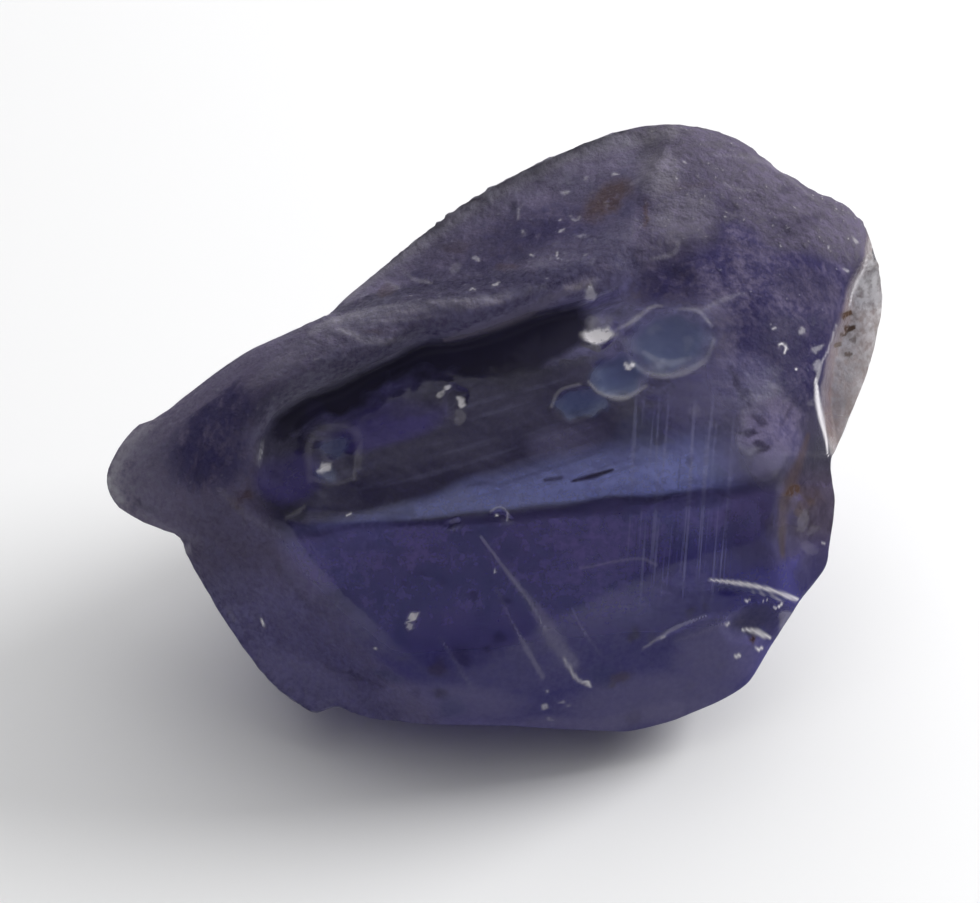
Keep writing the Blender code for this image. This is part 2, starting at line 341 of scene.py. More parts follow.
MARKS: dict[Tone, tuple[Spot | Streak, ...]] = {
    Tone.PALE: (
        # glints and rims of the chips
        Spot(1.3, 4.86, 0.22, 0.095, 3), Spot(1.22, 4.83, 0.14, 0.09, -15),
        Spot(1.31, 4.98, 0.2, 0.14, 0, 0.5), Spot(1.19, 5.375, 0.09, 0.07, 30, 0.9),
        Spot(1.67, 4.47, 0.035, 0.07),
        Streak(((1.5, 4.92), (1.7, 5.02), (1.95, 5.2), (2.08, 5.22)), (0.02, 0.05, 0.02), 0.55),
        Streak(((2.25, 5.18), (2.5, 5.16), (2.62, 5.06), (2.7, 4.95)), (0.02, 0.04, 0.02), 0.5),
        Streak(((2.55, 5.15), (2.8, 5.28), (3.1, 5.38)), (0.03, 0.05, 0.02), 0.3),
        # painted highlights along the ridge's crest, its folds and its lit lower edge
        Streak(((-1.95, 4.93), (-1.6, 4.8), (-1.25, 4.77), (-0.9, 4.9)), (0.04, 0.08, 0.04), 0.33),
        Streak(((-2.3, 4.9), (-1.7, 5.12), (-0.95, 5.2), (-0.2, 5.26), (0.6, 5.44)),
               (0.05, 0.1, 0.11, 0.07), 0.31),
        Streak(((-0.62, 4.8), (-0.19, 4.93), (0.31, 5.12), (0.81, 5.36), (1.25, 5.52)),
               (0.04, 0.1, 0.1, 0.08), 0.36),
        Streak(((-1.55, 5.02), (-1.05, 5.06), (-0.62, 5.1)), (0.03, 0.05, 0.03), 0.26),
        Streak(((1.85, 4.64), (2.1, 4.5), (2.42, 4.56)), (0.04, 0.07, 0.04), 0.3),
        Spot(2.05, 4.5, 0.1, 0.07, 0, 0.35), Spot(1.98, 4.92, 0.1, 0.07, 20, 0.22),
        Spot(2.4, 4.78, 0.07, 0.1, 0, 0.2),
        Streak(((1.62, 4.66), (1.78, 4.45), (2.02, 4.34), (2.32, 4.38), (2.62, 4.56), (2.72, 4.8)),
               (0.02, 0.05, 0.05, 0.03), 0.36),
        Streak(((1.16, 4.28), (1.3, 4.13), (1.6, 4.07), (1.88, 4.22)), (0.02, 0.05, 0.03), 0.42),
        Streak(((0.7, 3.96), (0.8, 4.16), (1.05, 4.24)), (0.03,), 0.33),
        Streak(((-2.3, 3.05), (-2.32, 3.45), (-2.22, 3.66), (-1.95, 3.72), (-1.72, 3.62), (-1.7, 3.2)),
               (0.05, 0.09, 0.09, 0.06), 0.22),
        Spot(-2.12, 3.2, 0.08, 0.07, 20, 0.8), Streak(((-1.73, 3.4), (-1.75, 3.05)), (0.03,), 0.3),
        Streak(((-2.3, 3.08), (-2.02, 3), (-1.74, 3.08)), (0.04,), 0.22),
        Spot(-0.6, 4.2, 0.06, 0.045, 0, 0.8), Spot(-0.42, 4.03, 0.07, 0.05, -40, 0.85),
        Spot(-0.66, 4.12, 0.03, 0.06, 0, 0.6), Spot(-0.43, 3.84, 0.08, 0.12, -10, 0.3),
        # ring in the small pit, and pinpoints
        Streak(((-0.06, 2.66), (0.05, 2.72), (0.15, 2.66), (0.15, 2.55)), (0.02,), 0.7),
        Spot(0.05, 2.6, 0.03, 0.03),
        Streak(((-3.45, 2.95), (-3.1, 2.62), (-2.8, 2.45)), (0.04, 0.08, 0.03), 0.22),
        Spot(-1.02, 1.36, 0.045, 0.07, -35), Spot(-1.06, 1.24, 0.05, 0.06, -20, 0.8),
        Spot(-0.02, 1.94, 0.03, 0.03), Spot(-1.49, 0.94, 0.025, 0.025), Spot(-2.9, 1.26, 0.035, 0.03),
        Spot(-1.8, 2.62, 0.03, 0.03),
        Streak(((-2.62, 2.56), (-2.44, 2.66), (-2.36, 2.74)), (0.03, 0.05, 0.03), 0.3),
        # feathers in the lower front, with painted glints at their ends
        Streak(((-0.14, 2.3), (0.15, 1.92), (0.5, 1.46), (0.75, 1.05), (0.96, 0.78)),
               (0.015, 0.04, 0.08, 0.15, 0.12), 0.34),
        Streak(((-0.18, 2.36), (0.1, 1.98), (0.46, 1.5), (0.66, 1.12)), (0.02, 0.03, 0.03, 0.02), 0.5),
        Streak(((0.02, 1.7), (0.25, 1.2), (0.42, 0.84)), (0.02, 0.03, 0.02), 0.27),
        Streak(((0.86, 0.84), (1, 0.6), (1.19, 0.48)), (0.02, 0.04, 0.02), 0.75),
        Spot(1.15, 0.5, 0.05, 0.03, -25),
        Streak(((0.21, 1.3), (0.4, 0.95), (0.59, 0.61)), (0.02, 0.04, 0.04), 0.4),
        Streak(((-0.69, 1.11), (-0.48, 0.78), (-0.29, 0.48)), (0.025,), 0.33),
        Streak(((0.95, 1.45), (1.12, 1.15), (1.32, 0.88)), (0.02, 0.03, 0.02), 0.28),
        Streak(((1.05, 1.96), (1.75, 2.08), (2, 2)), (0.02, 0.03), 0.35),
        Spot(0.65, 0.42, 0.04, 0.025, 0, 0.7), Spot(0.62, 0.24, 0.03, 0.05, 20, 0.75),
        Spot(0.68, 0.07, 0.04, 0.02, 0, 0.6), Spot(0.84, 0.28, 0.05, 0.02, 15, 0.6),
        Spot(1.25, 0.09, 0.02, 0.02, 0, 0.6),
        # steps on the lower right, with painted glints along them
        Streak(((2.66, 1.815), (3.09, 1.76), (3.44, 1.68), (3.76, 1.56)), (0.02, 0.04, 0.035, 0.03), 0.95),
        Streak(((3.2, 1.665), (3.42, 1.61), (3.6, 1.545)), (0.012, 0.018), 0.6),
        Spot(3.15, 1.56, 0.04, 0.015), Spot(3.38, 1.54, 0.06, 0.02, -10), Spot(3.52, 1.49, 0.05, 0.02, -20),
        Streak(((3.08, 1.195), (3.22, 1.175), (3.34, 1.12), (3.42, 1.09)), (0.02, 0.05, 0.03), 1),
        Spot(3.27, 0.97, 0.06, 0.02, -10), Spot(3.01, 0.87, 0.03, 0.03), Spot(2.9, 1.27, 0.04, 0.025),
        Streak(((1.84, 0.96), (2.12, 1.15), (2.31, 1.25), (2.62, 1.37)), (0.02, 0.03, 0.02), 0.5),
        Streak(((2.25, 1.05), (2.6, 1.17), (2.88, 1.28)), (0.018,), 0.35),
        Spot(2.1, 1.13, 0.07, 0.02, 35, 0.8), Spot(3.62, 1.3, 0.1, 0.14, -20, 0.35),
        # painted highlights along the sharp right edge, and paler places on the chip below it
        Streak(((4.69, 5.85), (4.51, 5.42), (4.44, 5.2)), (0.02, 0.04, 0.01), 0.8),
        Streak(((4.275, 4.99), (4.15, 4.65), (4.06, 4.5), (3.99, 4.24)), (0.01, 0.02, 0.03), 0.5),
        Streak(((3.99, 4.3), (4.02, 4.05), (4.07, 3.85), (4.14, 3.55), (4.16, 3.35)),
               (0.02, 0.05, 0.055, 0.03, 0.01), 0.8),
        Spot(4.02, 4.69, 0.07, 0.035, 10, 0.45), Spot(4, 4.49, 0.04, 0.09, -10, 0.45),
        Spot(3.83, 2.55, 0.07, 0.16, -25, 0.22), Spot(3.96, 2.42, 0.11, 0.07, 30, 0.18),
        Spot(3.92, 2.2, 0.14, 0.08, -20, 0.18), Spot(4.09, 2.26, 0.02, 0.03, 0, 0.6),
        # front, upper right
        Streak(((3.53, 4.72), (3.58, 4.75), (3.63, 4.7), (3.6, 4.64)), (0.018,), 0.9),
        Spot(3.82, 4.91, 0.05, 0.05, 0, 0.5), Spot(3.46, 4.96, 0.03, 0.03, 0, 0.7),
        Spot(3.74, 4.42, 0.02, 0.02), Spot(2.46, 3.92, 0.1, 0.07, 0, 0.25),
        Spot(2.8, 5.28, 0.26, 0.09, 20, 0.08), Spot(3.42, 3.94, 0.3, 0.32, 20, 0.07),
        # hollow and top: pale streaks, and painted glints and highlights
        Streak(((-0.95, 5.95), (-0.3, 6.5), (0.4, 6.92), (1.2, 7.22), (2.2, 7.4)),
               (0.1, 0.16, 0.18, 0.14), 0.25),
        Streak(((-1.9, 5.35), (-0.47, 6.42), (0.36, 6.88), (1.09, 7.2)), (0.1, 0.18, 0.18, 0.12), 0.36),
        Spot(2.35, 6.35, 0.45, 0.35, 20, 0.2), Spot(2.05, 6.9, 0.3, 0.35, 0, 0.26),
        Spot(4.42, 4.45, 0.2, 0.5, 10, 0.3), Spot(0.875, 6.65, 0.03, 0.03, 0, 0.6),
        Spot(1.5, 6.89, 0.04, 0.02, 0, 0.6), Spot(1.125, 6.85, 0.02, 0.02, 0, 0.6),
        Streak(((0.94, 6.34), (1, 6.29), (1.07, 6.33)), (0.02,), 0.45),
        Spot(0.825, 6.15, 0.06, 0.025, 35, 0.6), Spot(0.8, 6.3, 0.02, 0.02, 0, 0.6),
        Spot(0.375, 6.16, 0.02, 0.02, 0, 0.6), Spot(0.775, 5.85, 0.03, 0.03, 0, 0.7),
        Spot(0.49, 5.875, 0.02, 0.02, 0, 0.7), Spot(1.06, 6.1, 0.08, 0.018, 0, 0.4),
        Spot(0, 5.49, 0.05, 0.02, 25, 0.6), Spot(-0.29, 5.42, 0.08, 0.02, 25, 0.6),
        Spot(-0.225, 5.81, 0.04, 0.03, 0, 0.5),
        Streak(((0.33, 6.49), (0.29, 6.4), (0.3, 6.3)), (0.018,), 0.45),
        Streak(((-1.15, 5.68), (-1.02, 5.56), (-0.78, 5.5)), (0.02, 0.04, 0.02), 0.3),
        Streak(((-1.4, 5.55), (-1.2, 5.45)), (0.03,), 0.25), Spot(-0.5, 5.7, 0.05, 0.08, -20, 0.25),
        Streak(((2.6, 7.14), (3.05, 7.1), (3.34, 7.04), (3.69, 6.82), (4.02, 6.54)),
               (0.02, 0.04, 0.03, 0.02), 0.2),
        Streak(((2.85, 6.78), (3.05, 6.68), (3.28, 6.65)), (0.02, 0.03, 0.01), 0.3),
        Streak(((1.7, 6.75), (2.15, 7)), (0.03,), 0.3), Spot(2.4, 7.02, 0.02, 0.02, 0, 0.6),
        Spot(4.19, 5.975, 0.025, 0.025, 0, 0.6), Spot(4.5, 6.05, 0.03, 0.045, 0, 0.5),
        Spot(4.39, 5.66, 0.06, 0.025, -20, 0.5), Spot(1.55, 7.02, 0.14, 0.09, 0, 0.12),
        Streak(((2.28, 6.03), (2.25, 5.9), (2.12, 5.84), (1.94, 5.8)), (0.04, 0.05, 0.03), 0.3),
        # painted highlights along the nose's rim and the left edge of the broken face
        Streak(((-4.22, 3.78), (-4.48, 3.6), (-4.68, 3.3), (-4.76, 2.95), (-4.6, 2.66)),
               (0.05, 0.09, 0.09, 0.06), 0.28),
        Streak(((-4.4, 2.6), (-4.05, 2.42), (-3.7, 2.3)), (0.07,), 0.22),
        Spot(-2.75, 4.42, 0.45, 0.12, 35, 0.2),
        Streak(((-3.19, 3.05), (-3.17, 3.42), (-3.04, 3.8), (-2.9, 4.02), (-2.62, 4.12),
                (-2.31, 4.3), (-1.95, 4.42)), (0.03, 0.04, 0.05, 0.05, 0.04), 0.1),
        Spot(-3.84, 2.2, 0.06, 0.07, 0, 0.4), Streak(((-3.35, 1.45), (-3.25, 1.3)), (0.03,), 0.4),
    ),
    Tone.DARK: (
        Spot(-0.54, 4.11, 0.035, 0.035), Spot(-0.53, 2.51, 0.11, 0.06, 0, 0.8),
        Spot(1.98, 4.33, 0.1, 0.05, -20, 0.7), Spot(0.74, 3.88, 0.1, 0.05, -40, 0.6),
        # pits and flaws in the lower front
        Spot(0.15, 1.56, 0.09, 0.05, 0, 0.5), Spot(-0.26, 1.61, 0.05, 0.04, 0, 0.5),
        Spot(-1.14, 1.77, 0.05, 0.04, 0, 0.5), Spot(-0.94, 1.91, 0.06, 0.04, 0, 0.4),
        Spot(-0.64, 1.79, 0.05, 0.04, 0, 0.4), Spot(0.06, 1.11, 0.08, 0.07, 0, 0.5),
        Spot(-0.1, 0.96, 0.04, 0.06, 0, 0.5), Spot(-1.14, 0.84, 0.05, 0.04, 0, 0.4),
        Spot(-0.98, 0.41, 0.05, 0.05, 0, 0.4), Spot(-0.68, 0.4, 0.1, 0.08, 0, 0.6),
        Spot(-0.42, 0.88, 0.14, 0.1, -40, 0.5), Spot(-0.7, 0.72, 0.1, 0.12, 0, 0.4),
        Spot(1.73, 1.14, 0.045, 0.1, -25, 0.8), Spot(1.95, 1.1, 0.06, 0.05, 0, 0.4),
        Spot(2.44, 1.43, 0.07, 0.05, 0, 0.5), Spot(2.62, 1.5, 0.05, 0.05, 0, 0.5),
        Spot(-1.4, 0.2, 0.25, 0.08, -20, 0.3), Spot(1.72, 0.1, 0.1, 0.1, 0, 0.3),
        Streak(((-2.1, 0.73), (-1.81, 0.64), (-1.37, 0.47)), (0.02, 0.04, 0.02), 0.7),
        # painted shade in the line under the shelf, and dashes in the painted sheen band above it
        Streak(((-1.19, 2.5), (0, 2.56), (0.8, 2.66), (1.81, 2.75), (2.56, 2.82), (3.5, 2.9)),
               (0.03, 0.05, 0.07, 0.11, 0.12, 0.13), 0.55),
        Streak(((0.62, 3.05), (0.82, 3.08)), (0.03,), 0.8),
        Streak(((0.96, 3.04), (1.2, 3.1), (1.46, 3.18)), (0.02, 0.045, 0.02), 1),
        Streak(((-0.35, 2.98), (-0.1, 3.02), (0.08, 2.96)), (0.02, 0.03, 0.02), 0.4),
        Spot(0.25, 3.38, 0.14, 0.06, 25, 0.4),
        # front, upper right
        Spot(3, 4.3, 0.04, 0.09, -10, 0.8), Spot(3.1, 4.1, 0.08, 0.06, 0, 0.8),
        Spot(3.15, 3.65, 0.14, 0.04, 0, 0.85),
        Streak(((2.92, 4.45), (3.02, 4.2), (3.16, 3.98)), (0.03, 0.05, 0.03), 0.7),
        Spot(3.28, 3.8, 0.1, 0.05, -30, 0.7), Spot(3.31, 3.47, 0.11, 0.06, 0, 0.85),
        Spot(2.03, 3.55, 0.1, 0.05, 35, 0.5), Spot(2.4, 3.28, 0.08, 0.06, 35, 0.45),
        Spot(3.2, 1.33, 0.27, 0.17, 10, 0.6),
        # painted shade in the crease behind the ridge
        Streak(((-1.95, 5.18), (-1.19, 5.33), (-0.56, 5.36), (0.06, 5.41), (0.81, 5.52), (1.31, 5.78)),
               (0.05, 0.11, 0.1, 0.08, 0.03), 0.75),
        Streak(((3.75, 4.08), (3.56, 3.74)), (0.03,), 0.4), Spot(2.92, 3.9, 0.06, 0.2, 10, 0.25),
        Spot(4.12, 5.05, 0.22, 0.36, 0, 0.28),
        # hollow, top, nose and right end, with painted shade along the crease behind the ridge and in the
        # hollow
        Spot(3.3, 2.5, 0.5, 0.55, 0, 0.6), Spot(3.75, 6.2, 0.38, 0.12, 20, 0.35),
        Spot(3.55, 3, 0.35, 0.2, 0, 0.45), Spot(-3.4, 2.2, 0.6, 0.9, -30, 0.35),
        Spot(-2, 1.5, 0.25, 0.2, 0, 0.3), Spot(3.55, 1.3, 0.25, 0.25, 0, 0.45),
        Spot(3.44, 2.62, 0.22, 0.42, 0, 0.75),
        Streak(((3.72, 3.1), (3.6, 2.8), (3.55, 2.45), (3.57, 2.15)), (0.05, 0.09, 0.08, 0.05), 0.8),
        Spot(-0.75, 5.85, 0.35, 0.14, 35, 0.4), Spot(1.35, 6.75, 0.35, 0.14, 25, 0.45),
        Spot(-1, 3.95, 0.35, 0.12, 15, 0.5), Spot(-1.9, 4.66, 0.5, 0.14, 25, 0.45),
        Spot(-2.9, 4, 0.4, 0.2, 40, 0.3), Spot(-2.8, 3.35, 0.3, 0.35, 0, 0.4),
        Spot(3.6, 4.75, 0.3, 0.35, 0, 0.3), Spot(3.9, 5.45, 0.45, 0.24, -15, 0.45),
        Spot(4.65, 5.5, 0.3, 0.32, 0, 0.5), Spot(4, 4, 0.14, 0.5, -15, 0.35),
        Spot(4, 1.85, 0.28, 0.32, 0, 0.55), Spot(0.95, 6.15, 0.75, 0.34, 22, 0.28),
        Spot(1.4, 6.2, 0.3, 0.45, 10, 0.4), Spot(-3.75, 1.8, 0.3, 0.6, -25, 0.4),
        # painted shade in the crease behind the ridge
        Streak(((-1.6, 5.32), (-0.81, 5.45), (-0.06, 5.54), (0.6, 5.58), (1.06, 5.72)),
               (0.05, 0.11, 0.12, 0.07), 0.95),
        Spot(0.1, 5.92, 1.05, 0.3, 24, 0.42), Spot(1, 6.45, 0.4, 0.3, 30, 0.3),
        Spot(-0.55, 5.62, 0.35, 0.06, 12, 0.6), Spot(-0.05, 5.98, 0.3, 0.07, -30, 0.45),
        Spot(0.52, 5.62, 0.4, 0.05, 14, 0.6), Spot(-1.05, 5.48, 0.26, 0.05, 20, 0.6),
        Spot(0.95, 5.95, 0.3, 0.1, 20, 0.35),
        Spot(1.85, 6.55, 0.07, 0.28, -5, 0.45), Spot(3.05, 5.98, 0.5, 0.06, -12, 0.4),
        Spot(2.55, 6.02, 0.18, 0.06, 10, 0.4), Spot(-1.02, 5.02, 0.3, 0.035, 12, 0.45),
        Spot(-0.62, 5.18, 0.34, 0.03, 6, 0.45), Spot(-1.72, 4.8, 0.3, 0.04, 22, 0.35),
        Spot(-3.72, 3.05, 0.1, 0.16, 0, 0.3), Spot(-2.8, 3.62, 0.16, 0.1, 30, 0.25),
        Spot(-3.35, 3.95, 0.22, 0.06, 35, 0.2), Spot(0.24, 6.46, 0.05, 0.07, 0, 0.7),
        Streak(((0.19, 5.92), (0.24, 5.78), (0.34, 5.64)), (0.03,), 0.6),
        Spot(0.12, 5.66, 0.16, 0.07, 0, 0.6), Spot(-1.32, 5.37, 0.22, 0.05, 15, 0.7),
        Spot(0.95, 6.78, 0.2, 0.06, 15, 0.4), Spot(2.88, 6.45, 0.2, 0.05, -25, 0.5),
        Spot(3.52, 6.25, 0.12, 0.09, 0, 0.4),
        Streak(((3.62, 6.1), (3.8, 6.28), (4.02, 6.34)), (0.05,), 0.55),
        Spot(3.62, 6.68, 0.09, 0.05, 0, 0.5), Spot(1.62, 5.74, 0.17, 0.12, 20, 0.5),
        Spot(2.26, 5.6, 0.12, 0.08, -10, 0.4), Spot(2.36, 5.42, 0.14, 0.06, -20, 0.35),
        Streak(((-4.47, 2.76), (-4.22, 2.66)), (0.035,), 0.5), Spot(-4.25, 3.28, 0.07, 0.12, 0, 0.25),
        Streak(((-2.95, 2.3), (-2.62, 1.88), (-2.3, 1.45)), (0.03, 0.05, 0.03), 0.4),
    ),
    Tone.RUST: (
        Spot(1.41, 6.56, 0.38, 0.18, 38, 0.8),
        Spot(-3.15, 2.82, 0.16, 0.07, 40, 0.8),
        Streak(((-0.62, 4.8), (-0.19, 4.93), (0.31, 5.12), (0.81, 5.36), (1.15, 5.48)),
               (0.04, 0.09, 0.09, 0.07), 0.6),
        Spot(-1.5, 4.9, 0.16, 0.04, 0, 0.45), Spot(1.89, 6.36, 0.035, 0.17, 0, 0.7),
        Spot(0.15, 5.7, 0.14, 0.06, 0, 0.4), Spot(-0.5, 5.96, 0.18, 0.08, 0, 0.35),
        Spot(-1.35, 5.42, 0.12, 0.06, 20, 0.4), Spot(4.42, 5.12, 0.1, 0.06), Spot(4.44, 4.96, 0.07, 0.05),
        Spot(4.36, 4.87, 0.08, 0.04, 20), Spot(4.3, 4.74, 0.06, 0.06), Spot(4.44, 4.62, 0.06, 0.045),
        Spot(4.5, 4.8, 0.04, 0.04, 0, 0.7),
        Streak(((3.9, 3.61), (3.78, 3.27), (3.65, 2.96), (3.59, 2.72), (3.57, 2.43), (3.58, 2.1)),
               (0.03, 0.06, 0.09, 0.08, 0.06, 0.03), 0.5),
        Spot(3.85, 2.82, 0.22, 0.16, 0, 0.3), Spot(3.69, 2.92, 0.13, 0.08, 20, 0.9),
        Spot(3.93, 2.8, 0.09, 0.06, -20, 0.7), Spot(3.8, 2.7, 0.06, 0.1, -20, 0.5),
        Spot(1.58, 0.61, 0.14, 0.07, 10, 0.6), Spot(1.45, 0.52, 0.05, 0.05, 0, 0.5),
        Spot(3.2, 1.06, 0.04, 0.06, 20, 0.9), Spot(-0.7, 0.72, 0.12, 0.12, 0, 0.3),
        Spot(2.4, 6.72, 0.36, 0.05, 5, 0.18),
    ),
    Tone.BLUE: (
        Spot(2.18, 4.76, 0.5, 0.37, 12), Spot(1.54, 4.35, 0.35, 0.26, 14), Spot(1.07, 4, 0.32, 0.17, 2),
        Spot(-1.99, 3.46, 0.17, 0.12, 0, 0.7), Spot(3.19, 1.32, 0.28, 0.2, 10, 0.25),
        Spot(-2.11, 3.12, 0.14, 0.1, 0, 0.5),
        Streak(((2.75, 1.75), (3.2, 1.68), (3.62, 1.57)), (0.02, 0.035, 0.02), 0.5),
        Spot(1.35, 0.62, 0.2, 0.12, -30, 0.3), Spot(-0.53, 0.22, 0.16, 0.14, 0, 0.4),
        Spot(0.3, 2.1, 0.35, 0.12, -40, 0.3), Spot(-1.35, 0.62, 0.22, 0.06, -20, 0.5),
        Spot(1.8, 3.7, 0.3, 0.2, 20, 0.3), Spot(-1.2, 2.62, 0.2, 0.07, 10, 0.4),
    ),
}


# Soft places on the front, each named for what shows there; the shade places hold painted shade
NOSE_SHADE = Spot(-3.25, 3.62, 0.95, 0.6, 35, 0.7)
SHADE_BEHIND_RIDGE = Spot(-0.1, 5.85, 1.3, 0.45, 28)
HOLLOW_SHADE = Spot(0.6, 5.85, 1, 0.35, 18)
LIGHT_PLACE = Spot(3.44, 3.66, 0.42, 0.46, 20)
LIGHT_FOOT = Spot(3.38, 3.28, 0.3, 0.22, 35)
LEFT_POCKET = Spot(-2.65, 3.15, 0.62, 0.85, -15)
SATIN_END = Spot(3.55, 3.45, 0.5, 0.7)
GLOWS = (Spot(-1.35, 3.72, 0.7, 0.24, 17), Spot(-2.58, 3.08, 0.42, 0.3, 10, 0.8),
         Spot(-2.25, 3.93, 0.12, 0.1, 0, 0.5))
# painted sheen: a lighter strip along the top's rim, where it catches light from behind
BROW_SHEEN = Guide(((-2.2, 5.1), (-0.47, 6.45), (0.36, 6.92), (1.09, 7.25), (2.4, 7.49), (3.5, 6.97),
              (4.6, 6.3)), 4)
SHEEN_BAND_ACROSS = (-2.6, -1.2, -0.2, 0.8, 1.8, 2.6, 3.6)
SHEEN_BAND_TALL = (0.10, 0.20, 0.38, 0.56, 0.66, 0.72, 0.5)
UNDER_RIDGE_SHADE_ACROSS = (-3.1, -2.6, -1.9, -1.2, -0.4, 0.2, 0.8, 1.2)
UNDER_RIDGE_SHADE_EDGE = (0.70, 0.62, 0.70, 0.58, 0.78, 0.98, 0.95, 0.7)
SHINES = ((BIG_CHIP, 0.45), (MIDDLE_CHIP, 0.15), (SMALL_CHIP, 0.1), (SQUARE_CHIP, 0.3))

# Looks of the back, in the same columns as the front's
BACK_LOOKS = {"zones": (1, 0, 0, 0), "lines": (0, 0, 0, 0), "coat": (0.36, 0, 0, 0), "extra": (0, 0, 0, 0)}

# Paler lavender places; the streak and spots along the bottom edge are painted light that comes through the
# stone
LIFTS_AND_LIGHT: tuple[Spot | Streak, ...] = (
    Spot(1.9, 0.3, 1.1, 0.34, 8, 0.55), Spot(-2.3, 0.38, 0.9, 0.4, -30),
    Spot(-0.8, 0.22, 1.2, 0.32, 0, 0.65), Spot(2.8, 0.9, 0.6, 0.45, 30, 0.5),
    Spot(2.6, 4.1, 0.55, 0.4, 20, 0.3), Spot(3, 4.3, 0.45, 0.35, 0, 0.3),
    Spot(0.9, 3.55, 0.5, 0.22, 15, 0.25), Spot(0.2, 0.75, 0.9, 0.35, 0, 0.2),
    Spot(3.3, 3.45, 0.55, 0.42, 25, 0.2), Spot(3.38, 3.26, 0.26, 0.18, 35, 0.35),
    Streak(((-2.2, 0.2), (-1.2, 0), (0, -0.06), (1.2, 0), (2.3, 0.22)), (0.16,), 0.8),
)


@dataclass(frozen=True)
class Scatter:
    """Seeded small spots, spread over fields of the front; the pale ones are painted glints."""

    seed: int = 51

    def specks(self, tone: Tone) -> list[Spot | Streak]:
        """Lay out the small marks of one tone.

        Args:
            tone: which marks to make.

        Returns:
            The marks.
        """
        rng = np.random.default_rng(self.seed + tone.value)
        fields = {
            Tone.PALE: ((0.6, 6.2, 1.3, 0.6, 16, 0.6), (2.9, 6.7, 1.3, 0.5, 18, 0.4),
                        (0.3, 3.2, 1.6, 0.5, 14, 0.25), (3.3, 4.6, 0.7, 0.7, 9, 0.4),
                        (1.6, 0.5, 0.9, 0.4, 12, 0.4)),
            Tone.DARK: ((0.3, 1.3, 2.2, 0.9, 26, 0.35), (2.9, 3.9, 0.9, 0.6, 18, 0.35),
                        (2.9, 6.7, 1.3, 0.5, 16, 0.3), (2.3, 0.7, 0.9, 0.5, 12, 0.3)),
        }
        made: list[Spot | Streak] = []
        for across, rise, wide, high, count, strength in fields.get(tone, ()):
            for _ in range(count):
                x, y = across + wide * rng.uniform(-1, 1), rise + high * rng.uniform(-1, 1)
                size = rng.uniform(0.015, 0.035)
                wider, turn, share = rng.uniform(1, 2.2), rng.uniform(0, 60), rng.uniform(0.5, 1)
                made.append(Spot(x, y, size * wider, size, turn, 0.6 * strength * share))
        return made


# Parts of the crystal's surface


@dataclass(frozen=True)
class Lean:
    """The leaning frame in which the crystal is shaped."""

    angle: float = math.radians(40.0)

    def to_part(self, across: np.ndarray, rise: np.ndarray, out: np.ndarray) -> np.ndarray:
        """Turn leaning coordinates into the part's own, in millimetres.

        Args:
            across: places along X.
            rise: places up the leaning plane.
            out: distances off it, toward the front.

        Returns:
            Points in the part's axes.
        """
        sin, cos = math.sin(self.angle), math.cos(self.angle)
        return np.stack([across, rise * sin - out * cos, rise * cos + out * sin], axis=-1)


@dataclass(frozen=True)
class Outline:
    """Outline of the crystal seen square to the leaning plane: across, rise, distance out."""

    middle: tuple[float, float] = (0.06, 3.42)
    points: tuple[tuple[float, float, float], ...] = (
        (4.20, 3.35, 0.35), (4.26, 3.41, -0.75), (4.39, 3.70, -1.05), (4.51, 3.99, -1.15),
        (4.67, 4.40, -1.25), (4.81, 4.92, -1.30), (4.86, 5.40, -1.25), (4.72, 6.05, -0.85),
        (4.44, 6.45, -0.65), (3.96, 6.70, -0.70), (3.50, 6.97, -0.80), (3.00, 7.34, -0.95),
        (2.40, 7.49, -0.90), (1.75, 7.46, -0.80), (1.09, 7.25, -0.60), (0.36, 6.92, -0.40),
        (-0.47, 6.45, -0.25), (-1.11, 5.95, -0.20), (-1.85, 5.34, -0.10), (-2.02, 5.17, 0.00),
        (-2.14, 5.08, 0.55), (-2.56, 4.89, 0.70), (-3.16, 4.60, 0.65), (-3.85, 4.11, 0.45),
        (-4.21, 3.83, 0.30), (-4.44, 3.75, 0.15), (-4.65, 3.51, 0.18), (-4.85, 3.11, 0.25),
        (-4.72, 2.74, 0.30), (-4.31, 2.49, 0.35), (-3.96, 2.36, 0.40), (-3.84, 2.11, 0.45),
        (-3.56, 1.61, 0.45), (-3.23, 1.10, 0.50), (-2.81, 0.55, 0.60), (-2.38, 0.21, 0.70),
        (-2.21, 0.15, 0.75), (-2.06, 0.21, 0.70), (-1.90, 0.21, 0.70), (-1.56, 0.09, 0.80),
        (-0.81, 0.01, 0.90), (0.06, 0.00, 0.95), (1.31, -0.07, 0.90), (1.81, -0.05, 0.85),
        (2.44, 0.14, 0.75), (3.12, 0.49, 0.65), (3.41, 0.93, 0.60), (3.81, 1.55, 0.60),
        (4.11, 1.95, 0.50), (4.17, 2.24, 0.50), (4.24, 2.74, 0.45), (4.19, 3.17, 0.40),
    )

    def at(self, angle: np.ndarray) -> list[np.ndarray]:
        """Read the outline all round.

        Args:
            angle: direction from the middle, in radians.

        Returns:
            Reach as drawn and softened, then distance out as drawn and softened.
        """
        shifted = [(x - self.middle[0], y - self.middle[1], out) for x, y, out in self.points]
        line = smooth_line(shifted, closed=True)
        line = line[np.argsort(np.arctan2(line[:, 1], line[:, 0]))]
        around = np.arctan2(line[:, 1], line[:, 0])
        even = np.linspace(-math.pi, math.pi, 720, endpoint=False)
        spread = np.exp(-0.5 * (np.arange(-60, 61) / 17) ** 2)
        spread /= spread.sum()
        results = []
        for values in (np.hypot(line[:, 0], line[:, 1]), line[:, 2]):
            drawn = np.interp(even, around, values, period=2 * math.pi)
            softened = np.convolve(np.concatenate([drawn[-60:], drawn, drawn[:60]]), spread, "valid")
            results += [np.interp(angle, even, v, period=2 * math.pi) for v in (drawn, softened)]
        return results


